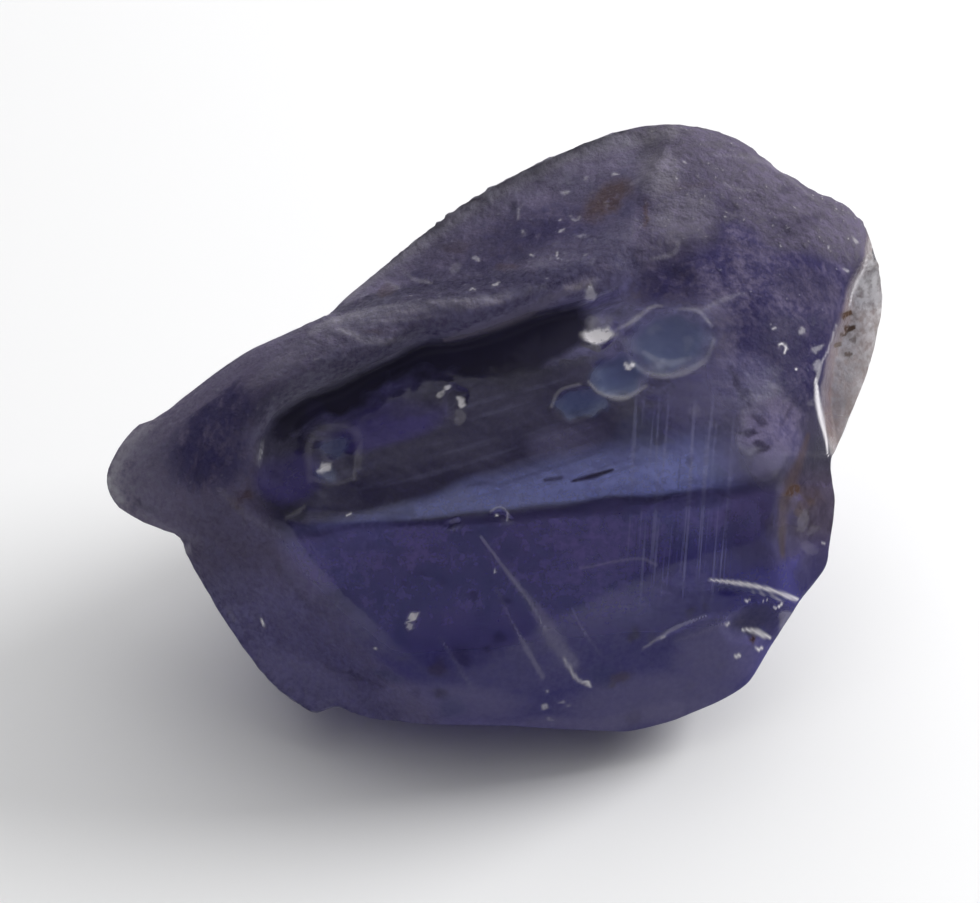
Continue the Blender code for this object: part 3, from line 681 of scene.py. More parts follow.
@dataclass(frozen=True)
class BrokenFront:
    """The broken face: a lower and an upper curved face that meet along a shelf."""

    shelf_out: float = 2.36
    shelf_rise: float = 2.67
    shelf_tilt: float = 0.105
    shelf_bend: float = -0.005
    lower_slope: float = 0.19
    lower_curve: float = -0.012
    upper_slope: float = -0.345
    lower_bow: float = 0.041
    upper_bow: float = 0.030
    bow_middle: float = 1.1
    right_face: Flat = Flat(6.65, -1.57, 0.34)
    foot_facet: Flat = Flat(1.41, -0.24, 0.64)
    edge: Guide = Guide(((-0.89, 0.15), (-1.55, 0.71), (-2.23, 1.39), (-2.84, 2.20), (-3.12, 2.80),
                         (-3.09, 3.36), (-2.90, 3.95), (-2.44, 4.24), (-1.69, 4.61), (-1.01, 4.90),
                         (-0.19, 5.09), (0.56, 5.34), (1.19, 5.51), (1.81, 5.83), (2.09, 6.42),
                         (2.16, 7.80)))
    hollow_across: tuple[float, ...] = (-3.3, -3.05, -2.45, -1.7, -1.0, 0.55, 1.8, 2.5)
    hollow_deep: tuple[float, ...] = (0.05, 0.15, 0.36, 0.45, 0.50, 0.46, 0.28, 0)
    hollow_wide: float = 1.0

    def over_shelf(self, across: np.ndarray, rise: np.ndarray) -> np.ndarray:
        """How far up the rise a point lies from the shelf."""
        return rise - (self.shelf_rise + self.shelf_tilt * across + self.shelf_bend * across**2)

    def out(self, across: np.ndarray, rise: np.ndarray) -> tuple[np.ndarray, np.ndarray, np.ndarray]:
        """How far out the broken face lies.

        Args:
            across: places along X.
            rise: places up the plane.

        Returns:
            Distance out, the distance inside the broken face's edge, and the edge's share.
        """
        over = self.over_shelf(across, rise)
        bow = (across - self.bow_middle) ** 2
        lower = self.shelf_out + self.lower_slope * over + self.lower_curve * over**2 - self.lower_bow * bow
        upper = self.shelf_out + self.upper_slope * over - self.upper_bow * bow
        faces = [lower, upper, self.right_face.out(across, rise), self.foot_facet.out(across, rise)]
        broken = soft_min(faces, 0.03)
        edge, share = self.edge.measure(across, rise)
        inside = -edge
        depth = np.interp(across, self.hollow_across, self.hollow_deep) * ramp(rise, 2.5, 3.6)
        fade = np.exp(-((np.clip(inside - 0.28, 0, None) / self.hollow_wide) ** 2))
        return broken - depth * ramp(inside, -0.12, 0.36) * fade, inside, share


@dataclass(frozen=True)
class Ridge:
    """The rounded ridge that runs from the nose to the top, with the left facet under it."""

    crest: Guide = Guide(((-5.44, 2.80), (-4.31, 3.11), (-3.31, 3.70), (-2.44, 4.47), (-1.69, 4.86),
                          (-0.94, 5.09), (0.31, 5.35), (1.31, 5.65), (1.94, 5.95), (2.56, 6.17)))
    across: tuple[float, ...] = (-5.4, -4.85, -4.3, -3.7, -2.9, -2.3, -0.9, 0.3, 1.3, 1.9)
    height: tuple[float, ...] = (0.5, 0.75, 1.1, 1.45, 1.72, 1.82, 1.72, 1.58, 1.42, 1.3)
    fall_back: float = 0.55
    fall_front: float = 0.13
    fold: float = 0.022
    fold_run: float = 1.8
    left_facet: Flat = Flat(1.45, 0.52, 0.76)

    def out(self, across: np.ndarray, rise: np.ndarray) -> np.ndarray:
        """How far out the ridge and the left facet lie.

        Args:
            across: places along X.
            rise: places up the plane.

        Returns:
            Distance out.
        """
        off, _ = self.crest.measure(across, rise)
        fall = np.where(off > 0, self.fall_back * off**2, self.fall_front * np.minimum(-off, 1.5) ** 2)
        top = np.interp(across, self.across, self.height) - fall
        return soft_min([top, self.left_facet.out(across, rise)], 0.05)

    def folds(self, across: np.ndarray, rise: np.ndarray) -> np.ndarray:
        """Fine folds that run along the ridge.

        Args:
            across: places along X.
            rise: places up the plane.

        Returns:
            Their height at each point, in millimetres.
        """
        off, share = self.crest.measure(across, rise)
        along = ramp(share, 0.36, 0.5) * (1 - ramp(share, 0.84, 0.95))
        along = along * (1 - ramp(np.abs(off - 0.05), 0.25, 0.5))
        return self.fold * along * Unevenness(31, 0.17).at(share * self.fold_run, off)


@dataclass(frozen=True)
class BackTop:
    """The rounded top and the hollow behind the ridge."""

    top: Flat = Flat(5.95, -0.09, -0.75)
    hollow: Flat = Flat(9.89, 0.68, -1.60)
    hollow_end: float = 3.0
    step: Guide = Guide(((-2.31, 5.08), (-2.00, 5.12), (-1.44, 5.24), (-0.69, 5.31), (0.06, 5.40),
                         (0.81, 5.55), (1.31, 5.75), (1.81, 6.03), (2.31, 6.24)))
    worn_edge: Guide = Guide(((1.60, 5.92), (1.94, 6.05), (2.34, 6.20), (3.06, 6.20), (3.44, 5.92),
                              (3.90, 5.84), (4.28, 5.68), (4.90, 5.50)))

    def join(self, low: np.ndarray, across: np.ndarray, rise: np.ndarray) -> np.ndarray:
        """Join the top and its hollow to what lies in front of them.

        Args:
            low: how far out the front and the ridge lie.
            across: places along X.
            rise: places up the plane.

        Returns:
            Distance out of all of them together.
        """
        lean = across - 0.30 * (rise - 6.3)
        hollow = self.hollow.out(across, rise) + self.hollow_end * ramp(lean, 1.45, 2.9)
        high = soft_min([self.top.out(across, rise), hollow], 0.12)
        behind, _ = self.step.measure(across, rise)
        step = ramp(behind, -0.08, 0.32)
        left = 1 - ramp(across, 1.2, 2.1)
        return left * (low * (1 - step) + high * step) + (1 - left) * soft_min([low, high], 0.05)


@dataclass(frozen=True)
class RightLobe:
    """The thin lobe behind the sharp right edge."""

    edge: Guide = Guide(((4.71, 6.36), (4.61, 6.05), (4.54, 5.78), (4.39, 5.42), (4.19, 4.80),
                         (4.08, 4.42), (4.03, 4.15), (4.10, 3.74), (4.20, 3.35), (4.31, 3.05)))
    face: Flat = Flat(0.35, -0.25, 0.0)

    def join(self, near: np.ndarray, across: np.ndarray, rise: np.ndarray) -> tuple[np.ndarray, np.ndarray]:
        """Drop from the sharp edge to the lobe behind it.

        Args:
            near: how far out the rest of the front lies.
            across: places along X.
            rise: places up the plane.

        Returns:
            Distance out of both together, and how surely a point is on the lobe.
        """
        past, _ = self.edge.measure(across, rise)
        lobe = np.minimum(near, self.face.out(across, rise))
        return near + (lobe - near) * ramp(past, -0.04, 0.18), ramp(past, 0.0, 0.1)


@dataclass(frozen=True)
class BackFaces:
    """The worn faces of the back and the underside: where each one faces, and its distance."""

    lean: Lean
    faces: tuple[tuple[tuple[float, float, float], float], ...] = (
        ((0, 0, -1), 0.35), ((-0.06, 0.90, 0.43), 7.15), ((0, 0.93, -0.36), 4.55),
        ((0.72, 0.66, 0.20), 7.0), ((0.70, 0.50, -0.50), 3.9), ((-0.62, 0.76, 0.12), 5.0),
        ((-0.52, 0.60, -0.60), 2.9), ((-0.86, 0.12, -0.50), 3.1), ((0.86, 0.10, -0.50), 3.3),
    )

    def out(self, across: np.ndarray, rise: np.ndarray) -> np.ndarray:
        """How far out the back lies.

        Args:
            across: places along X.
            rise: places up the plane.

        Returns:
            Distance out, the furthest of all the faces.
        """
        sin, cos = math.sin(self.lean.angle), math.cos(self.lean.angle)
        found = []
        for normal, distance in self.faces:
            x, y, z = np.array(normal) / np.linalg.norm(normal)
            level = distance - x * across - rise * (y * sin + z * cos)
            found.append(-level / (z * sin - y * cos))
        return -soft_min(found, 0.16)


# The crystal


@dataclass(frozen=True)
class Net:
    """A closed net of square cells, drawn on a cube and blown up to a ball."""

    cells: int

    def build(self) -> tuple[np.ndarray, np.ndarray]:
        """Make the net.

        Returns:
            Unit directions of its points, and the four corners of each cell.
        """
        n = self.cells
        i, j = np.meshgrid(np.arange(n + 1), np.arange(n + 1), indexing="ij")
        low, high = np.zeros_like(i), np.full_like(i, n)
        sheets = [(i, j, high), (j, i, low), (high, i, j), (low, j, i), (j, high, i), (i, low, j)]
        places = np.concatenate([np.stack(s, -1).reshape(-1, 3) for s in sheets])
        places, index = np.unique(places, axis=0, return_inverse=True)
        index = index.reshape(6, n + 1, n + 1)
        corners = [index[:, :-1, :-1], index[:, 1:, :-1], index[:, 1:, 1:], index[:, :-1, 1:]]
        ball = np.tan((places / n * 2 - 1) * math.pi / 4)
        ball /= np.linalg.norm(ball, axis=1, keepdims=True)
        return ball, np.stack(corners, -1).reshape(-1, 4)


def surface_directions(points: np.ndarray, cells: np.ndarray) -> np.ndarray:
    """Direction square to the surface at each point: the sum of its cells' directions.

    Args:
        points: places of the points.
        cells: the four corners of each cell.

    Returns:
        One unit direction for each point.
    """
    across = points[cells[:, 2]] - points[cells[:, 0]]
    along = points[cells[:, 3]] - points[cells[:, 1]]
    facing = np.cross(across, along)
    total = np.zeros_like(points)
    for corner in range(4):
        np.add.at(total, cells[:, corner], facing)
    return total / np.maximum(np.linalg.norm(total, axis=1, keepdims=True), 1e-12)


@dataclass
class FrontLooks:
    """How the front looks from place to place, each look as a share from 0 to 1.

    Inside is the distance inside the broken face's edge, and share that of the edge's length.
    Over is the rise above the shelf, off the distance behind the ridge's crest, worn the distance
    inside the worn top's edge, and lobe how surely a point is on the thin lobe.
    """

    across: np.ndarray
    rise: np.ndarray
    inside: np.ndarray
    share: np.ndarray
    over: np.ndarray
    off: np.ndarray
    worn: np.ndarray
    lobe: np.ndarray

    def __post_init__(self) -> None:
        """Work out the places that several looks share.

        The worn skin lies outside the broken face and fades over its edge, more widely on the
        left. The strip follows the ridge's crest. The window is the clear part above the shelf.
        """
        across, rise, over = self.across, self.rise, self.over
        left = 1 - ramp(self.share, 0.28, 0.36)
        self.outer = 1 - ramp(self.inside + 0.2 * left, -0.04, 0.26 + 0.46 * left)
        self.strip = (1 - ramp(np.abs(self.off - 0.1), 0.2, 0.5)) * ramp(across, -3.4, -1.8)
        self.top = ramp(self.worn, -0.05, 0.15) * ramp(across, 1.5, 2.0)
        self.facet = ramp(across, -0.8, -1.6) * ramp(rise, 2.2, 1.4)
        self.patchy = Unevenness(47, 0.30).at(across, rise)
        light = 1 - ramp(LIGHT_PLACE.reach(across, rise) + 0.25 * self.patchy, 0.0, 2.2)
        self.light = light * ramp(over, -0.05, 0.10)
        window = ramp(over, 0.0, 0.3) * (1 - ramp(over, 1.6, 2.4))
        window = window * ramp(across, -2.7, -1.9) * (1 - ramp(across, 1.2, 2.4))
        self.window = window * ramp(self.inside, 0.3, 0.8)
        foot = np.maximum(1 - ramp(over, -1.9, -1.1), ramp(across, 1.3, 2.5) * (1 - ramp(over, -1.0, -0.3)))
        self.foot = foot * ramp(self.inside, 0.0, 0.25) + 0.75 * self.outer * self.facet

    def on(self, *marks: Spot | Streak) -> np.ndarray:
        """How strongly the strongest of some marks covers each point."""
        return np.max([mark.cover(self.across, self.rise) for mark in marks], axis=0)

    def frost(self) -> np.ndarray:
        """Frosted skin: the worn skin, the top, and weaker patches on the right.

        Returns:
            Its share at each point.
        """
        across, rise = self.across, self.rise
        return np.max([
            self.outer * (0.45 + 0.35 * self.strip + 0.2 * ramp(self.off, 0.3, 0.9)),
            0.9 * self.top,
            0.28 * ramp(across, 1.9, 3.2) * ramp(rise, 3.0, 4.6),
            0.6 * ramp(across, 2.0, 3.0) * ramp(rise, 4.7, 5.5),
            0.45 * ramp(across, 1.3, 1.9) * ramp(rise, 5.0, 5.5),
            0.34 * self.light * ramp(self.over, 0.05, 0.75),
        ], axis=0)

    def sheen_band(self) -> np.ndarray:
        """The painted sheen band over the shelf, a bright band which grows taller toward the right.

        Returns:
            Its share at each point.
        """
        tall = np.interp(self.across, SHEEN_BAND_ACROSS, SHEEN_BAND_TALL)
        sheen_band = ramp(self.over, -0.02, 0.06) * (1 - ramp(self.over / tall, 0.45, 1.35))
        return sheen_band * ramp(self.across, -2.9, -0.9) * (1 - ramp(self.across, 2.1, 3.3))

    def deep(self) -> np.ndarray:
        """Painted shade in the hollow under the ridge, with a ragged lower edge.

        Returns:
            Its share at each point.
        """
        low_edge = np.interp(self.across, UNDER_RIDGE_SHADE_ACROSS, UNDER_RIDGE_SHADE_EDGE)
        ragged = self.inside + 0.05 * Unevenness(41, 0.35).at(self.across, self.rise)
        deep = (1 - ramp(ragged, low_edge - 0.22, low_edge + 0.2)) * ramp(self.inside, -0.10, 0.28)
        return deep * ramp(self.share, 0.29, 0.38) * (1 - ramp(self.share, 0.74, 0.79))

    def lines(self) -> np.ndarray:
        """Where fine lines run: upright, level, and on the crest and top; and the lower face.

        Returns:
            Four columns of shares.
        """
        across, rise = self.across, self.rise
        upright = ramp(across, 1.55, 1.75) * (1 - ramp(across, 2.75, 3.1))
        upright = upright * ramp(rise, 1.3, 2.1) * (1 - ramp(rise, 3.6, 4.4))
        level = np.maximum(self.window, 0.8 * self.strip * (1 - ramp(self.inside, 0.0, 0.2)))
        lower = 1 - ramp(self.over, -0.12, 0.04)
        return np.stack([upright, level, np.maximum(self.strip, self.top), lower], axis=-1)

    def coat(self, sheen_band: np.ndarray) -> np.ndarray:
        """How thick the haze is, and where it is foot, satin or dull skin; the dull skin carries painted
        shade on the nose, behind the ridge and in the hollow, and a painted sheen along the top's rim thins
        it.

        The haze starts at a half, is thicker below the shelf and on the worn skin, and has a least
        share in each of the named places.

        Args:
            sheen_band: the painted sheen band's share.

        Returns:
            Four columns of shares.
        """
        across, rise, over, outer = self.across, self.rise, self.over, self.outer
        nose_shade, behind = self.on(NOSE_SHADE), self.on(SHADE_BEHIND_RIDGE)
        brow_sheen = 1 - ramp(-BROW_SHEEN.measure(across, rise)[0], 0.1, 0.9)
        rim = ramp(across, 3.15, 3.65) * (1 - self.lobe)
        right = ramp(across, 2.6, 3.8)
        shoulder = np.maximum(ramp(across, 2.0, 3.1) * ramp(rise, 3.4, 4.6),
                              ramp(across, 1.2, 1.9) * ramp(rise, 4.9, 5.4))
        under = 1 - ramp(over, -0.12, 0.04)
        haze = 0.5 + under * (0.12 + 0.06 * ramp(across, 0.3, 1.2) + 0.14 * ramp(across, 2.4, 3.3))
        worn = 0.80 + 0.08 * nose_shade - 0.10 * self.strip - 0.30 * self.facet - 0.04 * brow_sheen + 0.05 * behind
        haze = haze + (worn - haze) * outer
        haze = np.max([
            haze, (0.80 + 0.10 * right) * self.top, 0.88 * shoulder, 0.70 * self.foot, 0.93 * self.light,
            0.92 * self.on(LIGHT_FOOT), 0.86 * self.on(LEFT_POCKET), 0.80 * self.window * (1 - 0.5 * sheen_band),
            (0.84 + 0.06 * ramp(rise, 2.6, 3.2)) * rim,
        ], axis=0)
        haze = haze + (0.45 - haze) * self.lobe
        dull_and_shade = np.max([
            outer * np.clip(nose_shade + 0.7 * behind + 0.32 * self.facet, 0, 1), (0.3 + 0.4 * right) * self.top,
            0.65 * shoulder, (0.7 + 0.3 * ramp(rise, 3.0, 2.4)) * rim,
        ], axis=0)
        dull_and_shade = np.maximum(dull_and_shade * (1 - 0.55 * self.light), 0.5 * self.on(HOLLOW_SHADE)) * (1 - 0.7 * brow_sheen)
        satin = np.maximum((1 - ramp(over, -2.3, -0.5)) * ramp(self.inside, 0.0, 0.25), self.on(SATIN_END))
        return np.stack([haze, self.foot, satin, dull_and_shade], axis=-1)

    def chip_shine(self) -> np.ndarray:
        """Pale light inside the chips, brightest toward their lower right rims.

        Returns:
            Its share at each point.
        """
        across, rise = self.across, self.rise
        total = np.zeros_like(across)
        for oval, least in SHINES:
            reach = oval.reach(across, rise)
            down = (0.25 * (across - oval.across) - (rise - oval.rise)) / oval.high
            lean = 0.5 + 0.5 * np.clip(down, -1, 1)
            shine = least + (1 - least) * lean * ramp(reach, 0.0, 0.85)
            total = np.maximum(total, shine * (1 - ramp(reach, 0.85, 1.1)))
        return total

    def columns(self) -> dict[str, np.ndarray]:
        """All the looks, four to an attribute.

        Zones are frosted skin, the painted sheen band, the painted shade of the hollow under the ridge, and
        lobe.
        Extra is the violet glow, the shine in the chips, the stained right end and the lavender places,
        partly painted light along the bottom edge.

        Returns:
            The attributes by name.
        """
        sheen_band, deep = self.sheen_band(), self.deep()
        glow = self.on(*GLOWS) * (1 - 0.75 * ramp(deep, 0.5, 1.0))
        stain = ramp(self.across + 0.12 * self.patchy, 3.2, 3.85)
        stain = stain * (1 - ramp(self.rise, 2.9, 3.4)) * ramp(self.rise, 1.7, 2.5)
        zones = np.stack([self.frost(), sheen_band, deep, self.lobe], axis=-1)
        extra = np.stack([glow, self.chip_shine(), stain, self.on(*LIFTS_AND_LIGHT)], axis=-1)
        return {"zones": zones, "lines": self.lines(), "coat": self.coat(sheen_band), "extra": extra}


@dataclass
class Crystal:
    """The whole crystal as one closed fine surface."""

    lean: Lean = field(default_factory=Lean)
    outline: Outline = field(default_factory=Outline)
    front: BrokenFront = field(default_factory=BrokenFront)
    ridge: Ridge = field(default_factory=Ridge)
    top: BackTop = field(default_factory=BackTop)
    lobe: RightLobe = field(default_factory=RightLobe)
    cells: int = 128
    front_share: float = 0.58
    right_share: float = 0.38
    shift: tuple[float, float] = (0.0, 0.0)

    def front_out(self, across: np.ndarray, rise: np.ndarray) -> tuple[np.ndarray, dict[str, np.ndarray]]:
        """How far out the whole visible front lies, and how it looks.

        The broken face blends into the ridge over its edge, more widely on the left. The top and
        the lobe join them, and the chips and ledges are cut along slightly wavy rims.

        Args:
            across: places along X.
            rise: places up the plane.

        Returns:
            Distance out, and the looks by attribute.
        """
        broken, inside, share = self.front.out(across, rise)
        ridge = self.ridge.out(across, rise) + self.ridge.folds(across, rise)
        left = 1 - ramp(share, 0.28, 0.36)
        low = ridge + (broken - ridge) * ramp(inside + 0.20 * left, -0.12, 0.20 + 0.47 * left)
        surface, lobe = self.lobe.join(self.top.join(low, across, rise), across, rise)
        wavy = across + 0.035 * Unevenness(46, 0.30).at(across, rise)
        for dent in CHIPS + LEDGES:
            surface = surface - dent.depth(wavy, rise)
        worn, _ = self.top.worn_edge.measure(across, rise)
        off, _ = self.ridge.crest.measure(across, rise)
        over = self.front.over_shelf(across, rise)
        return surface, FrontLooks(across, rise, inside, share, over, off, worn, lobe).columns()

    def marks(self, across: np.ndarray, rise: np.ndarray) -> np.ndarray:
        """How strongly marks of each tone cover the front.

        Args:
            across: places along X.
            rise: places up the plane.

        Returns:
            Four columns, one for each tone.
        """
        covers = np.zeros((len(across), len(Tone)))
        wavy = waved(across, rise, (42, 44, 0.020, 0.20), (43, 45, 0.006, 0.07))
        for tone in Tone:
            for mark in list(MARKS[tone]) + Scatter().specks(tone):
                place = wavy if isinstance(mark, Spot) else (across, rise)
                covers[:, tone.value] = np.maximum(covers[:, tone.value], mark.cover(*place))
        return covers

    def relief(self, points: np.ndarray, frost: np.ndarray, facing: np.ndarray) -> np.ndarray:
        """Fine relief that stands off the surface: worn grain, and small scars on the back.

        Args:
            points: places of the points.
            frost: share of frosted skin.
            facing: 1 on the front, 0 on the back.

        Returns:
            How far to move each point along its own direction, in millimetres.
        """
        x, y, z = points.T
        grain = 0.010 * Unevenness(21, 0.16).at(x, y, z) + 0.016 * Unevenness(22, 0.75).at(x, y, z)
        ripple = 0.002 * Unevenness(24, 0.55).at(x, y, z)
        swell = 0.05 * Unevenness(23, 2.2).at(x, y, z) * (1 - facing)
        total = frost * grain + (1 - frost) * ripple + swell
        rng = np.random.default_rng(61)
        behind = np.flatnonzero(facing < 0.5)
        for place in points[rng.choice(behind, 46)]:
            size = rng.uniform(0.12, 0.55)
            away = ((points - place) ** 2).sum(1) / size**2
            total -= size * 0.09 * np.clip(1 - away, 0, None) ** 0.8 * (1 - facing)
        return total

    def shape(self) -> tuple[np.ndarray, np.ndarray, dict[str, np.ndarray]]:
        """Work out the surface.

        The net's directions give an angle round the outline and a share of the way to it. The
        outline's reach at that angle, times the share, gives across and rise. Distance out runs
        from the outline's own depth to the front or the back, with a swell that is steep at the
        outline and flat in the middle.

        Returns:
            Points in millimetres, cells, and the attributes of each point.
        """
        ball, cells = Net(self.cells).build()
        angle = np.arctan2(ball[:, 1], ball[:, 0])
        angle = angle - self.right_share * np.sin(angle - 0.1)
        polar = np.arccos(np.clip(ball[:, 2], -1, 1))
        polar = polar - self.front_share * np.sin(polar)
        share, facing = np.sin(polar), np.cos(polar) >= 0
        drawn, soft, drawn_out, soft_out = self.outline.at(angle)
        rim_across, rim_rise = drawn * np.cos(angle), drawn * np.sin(angle)
        drawn = drawn + 0.004 * Unevenness(9, 0.4).at(rim_across, rim_rise)
        near = share**14
        reach = np.where(facing, drawn, soft + (drawn - soft) * near) * share
        across = self.outline.middle[0] + reach * np.cos(angle)
        rise = self.outline.middle[1] + reach * np.sin(angle)
        rim = soft_out + (drawn_out - soft_out) * near
        top = 0.5 + 0.5 * np.cos(angle - 1.75)
        even = np.clip(share * (1 + (drawn / soft - 1) * (1 - near)), 0, 1)
        front_swell = (1 - even ** (6 - 3.2 * top**2 + 7 * (1 - top) ** 4)) ** (0.5 + 0.12 * (1 - top))
        back_swell = np.sqrt(1 - share**3)
        warp_across, warp_rise = waved(across, rise, (3, 4, 0.02, 0.9), (5, 6, 0.003, 0.16))
        front, looks = self.front_out(warp_across, warp_rise)
        back = BackFaces(self.lean).out(across, rise)
        back = soft_min([back, rim - 0.1], 0.1)
        out = np.where(facing, rim + (front - rim) * front_swell, rim + (back - rim) * back_swell)
        points = self.lean.to_part(across, rise, out)
        front_side = facing.astype(float)
        looks = {name: np.where(facing[:, None], values, BACK_LOOKS[name]) for name, values in looks.items()}
        looks["marks"] = self.marks(across, rise) * front_side[:, None]
        relief = self.relief(points, looks["zones"][:, 0], front_side) * (1 - 0.9 * near * (1 - front_side))
        points = points + surface_directions(points, cells) * relief[:, None]
        points[:, 2] = np.maximum(points[:, 2], 0)
        return points, cells, looks

    def build(self) -> bpy.types.Object:
        """Make the crystal's object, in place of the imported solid.

        Returns:
            The new object.
        """
        points, cells, attributes = self.shape()
        low, high = points.min(0), points.max(0)
        self.shift = ((low[0] + high[0]) / 2, (low[1] + high[1]) / 2)
        points = points - [*self.shift, 0]
        mesh = bpy.data.meshes.new("spinel_crystal")
        mesh.vertices.add(len(points))
        mesh.vertices.foreach_set("co", (points * MM).astype(np.float32).ravel())
        mesh.loops.add(cells.size)
        mesh.loops.foreach_set("vertex_index", cells.astype(np.int32).ravel())
        mesh.polygons.add(len(cells))
        mesh.polygons.foreach_set("loop_start", np.arange(0, cells.size, 4, dtype=np.int32))
        mesh.update(calc_edges=True)
        mesh.validate()
        mesh.shade_smooth()
        for name, values in attributes.items():
            layer = mesh.attributes.new(name, "FLOAT_COLOR", "POINT")
            layer.data.foreach_set("color", values.astype(np.float32).ravel())
        piece = bpy.data.objects.new("spinel_crystal", mesh)
        bpy.context.scene.collection.objects.link(piece)
        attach(piece, "root")
        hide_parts(NODE)
        LOG.info("crystal: %d points, %d cells", len(points), len(cells))
        return piece


# Materials


class Value:
    """A number, colour or vector in a material, written with Python's own operators."""

    def __init__(self, graph: "Graph", socket: bpy.types.NodeSocket) -> None:
        """Wrap one output of a node."""
        self.graph = graph
        self.socket = socket

    def _maths(self, operation: str, other: object, swap: bool = False) -> "Value":
        """Add one step of arithmetic with another term, in either order."""
        terms = (other, self) if swap else (self, other)
        return self.graph.maths(operation, *terms)

    def __add__(self, other: object) -> "Value":
        """Sum."""
        return self._maths("ADD", other)

    __radd__ = __add__

    def __sub__(self, other: object) -> "Value":
        """Difference."""
        return self._maths("SUBTRACT", other)

    def __rsub__(self, other: object) -> "Value":
        """Difference, the other way round."""
        return self._maths("SUBTRACT", other, swap=True)

    def __mul__(self, other: object) -> "Value":
        """Product."""
        return self._maths("MULTIPLY", other)

    __rmul__ = __mul__


Term = Value | float | tuple[float, ...]
Columns = tuple[Value, Value, Value, Value]


class Graph:
    """Builds the nodes of one material or world."""

    def __init__(self, owner: bpy.types.Material | bpy.types.World) -> None:
        """Start with an empty tree.

        Args:
            owner: the material or world to fill.
        """
        owner.use_nodes = True
        self.owner = owner
        self.tree = owner.node_tree
        self.tree.nodes.clear()

    def put(self, socket: bpy.types.NodeSocket, value: Term) -> None:
        """Link a value to a socket, or set a constant on it.

        Args:
            socket: the input to fill.
            value: what goes in.
        """
        if isinstance(value, Value):
            self.tree.links.new(value.socket, socket)
        else:
            socket.default_value = value

    def node(self, kind: str, inputs: dict[str | int, Term], out: str | int = 0, **settings: object) -> Value:
        """Add any node.

        Args:
            kind: the node's type name.
            inputs: values for its inputs, by name or number.
            out: the output to hand back.
            settings: the node's own properties, set before its inputs.

        Returns:
            The chosen output.
        """
        made = self.tree.nodes.new(kind)
        for name, value in settings.items():
            setattr(made, name, value)
        for name, value in inputs.items():
            self.put(made.inputs[name], value)
        return Value(self, made.outputs[out])

    def maths(self, operation: str, *terms: Term) -> Value:
        """Add one step of arithmetic."""
        return self.node("ShaderNodeMath", dict(enumerate(terms)), operation=operation)

    def ramp(self, value: Term, start: float, end: float, low: float = 0.0, high: float = 1.0) -> Value:
        """Go smoothly from low at start to high at end."""
        inputs = {"Value": value, "From Min": start, "From Max": end, "To Min": low, "To Max": high}
        return self.node("ShaderNodeMapRange", inputs, interpolation_type="SMOOTHSTEP", clamp=True)

    def mix(self, share: Term, first: Term, second: Term) -> Value:
        """Mix two colours."""
        return self.node("ShaderNodeMix", {0: share, 6: first, 7: second}, out=2, data_type="RGBA")

    def dot(self, place: Value, toward: tuple[float, float, float]) -> Value:
        """How far a vector reaches in one direction."""
        return self.node("ShaderNodeVectorMath", {0: place, 1: toward}, out="Value", operation="DOT_PRODUCT")

    def lines(self, place: Value, degrees: float, along: float, over: float) -> Value:
        """Noise drawn out into fine lines that run up the front at an angle.

        Args:
            place: object coordinates.
            degrees: the lines' angle from level.
            along: cells to the millimetre along the lines.
            over: cells to the millimetre from line to line.

        Returns:
            The noise.
        """
        c, s = math.cos(math.radians(degrees)), math.sin(math.radians(degrees))
        up, back = math.cos(Lean().angle), math.sin(Lean().angle)
        first, second = self.dot(place, (c, s * back, s * up)), self.dot(place, (-s, c * back, c * up))
        flat = self.node("ShaderNodeCombineXYZ", {0: first * along, 1: second * over})
        return self.noise(flat, 1.0, 2.0)

    def noise(self, place: Value, per_mm: float, detail: float = 3.0) -> Value:
        """Soft noise with so many cells to the millimetre."""
        inputs = {"Vector": place, "Scale": per_mm / MM, "Detail": detail, "Roughness": 0.55}
        return self.node("ShaderNodeTexNoise", inputs)

    def columns(self, name: str) -> Columns:
        """Read the four columns of one of the piece's attributes.

        Args:
            name: the attribute.

        Returns:
            One value for each column.
        """
        colour = self.node("ShaderNodeAttribute", {}, out="Color", attribute_name=name)
        split = self.node("ShaderNodeSeparateColor", {0: colour})
        red, green, blue = (Value(self, s) for s in split.socket.node.outputs)
        return red, green, blue, Value(self, colour.socket.node.outputs["Alpha"])

    def finish(self, output: str, **shaders: Value) -> bpy.types.Material | bpy.types.World:
        """Connect the shaders to the output node.

        Args:
            output: the output node's type name.
            shaders: what goes into its inputs, by name.

        Returns:
            The finished material or world.
        """
        end = self.tree.nodes.new(output)
        for name, shader in shaders.items():
            self.put(end.inputs[name], shader)
        return self.owner


Colour = tuple[float, float, float, float]


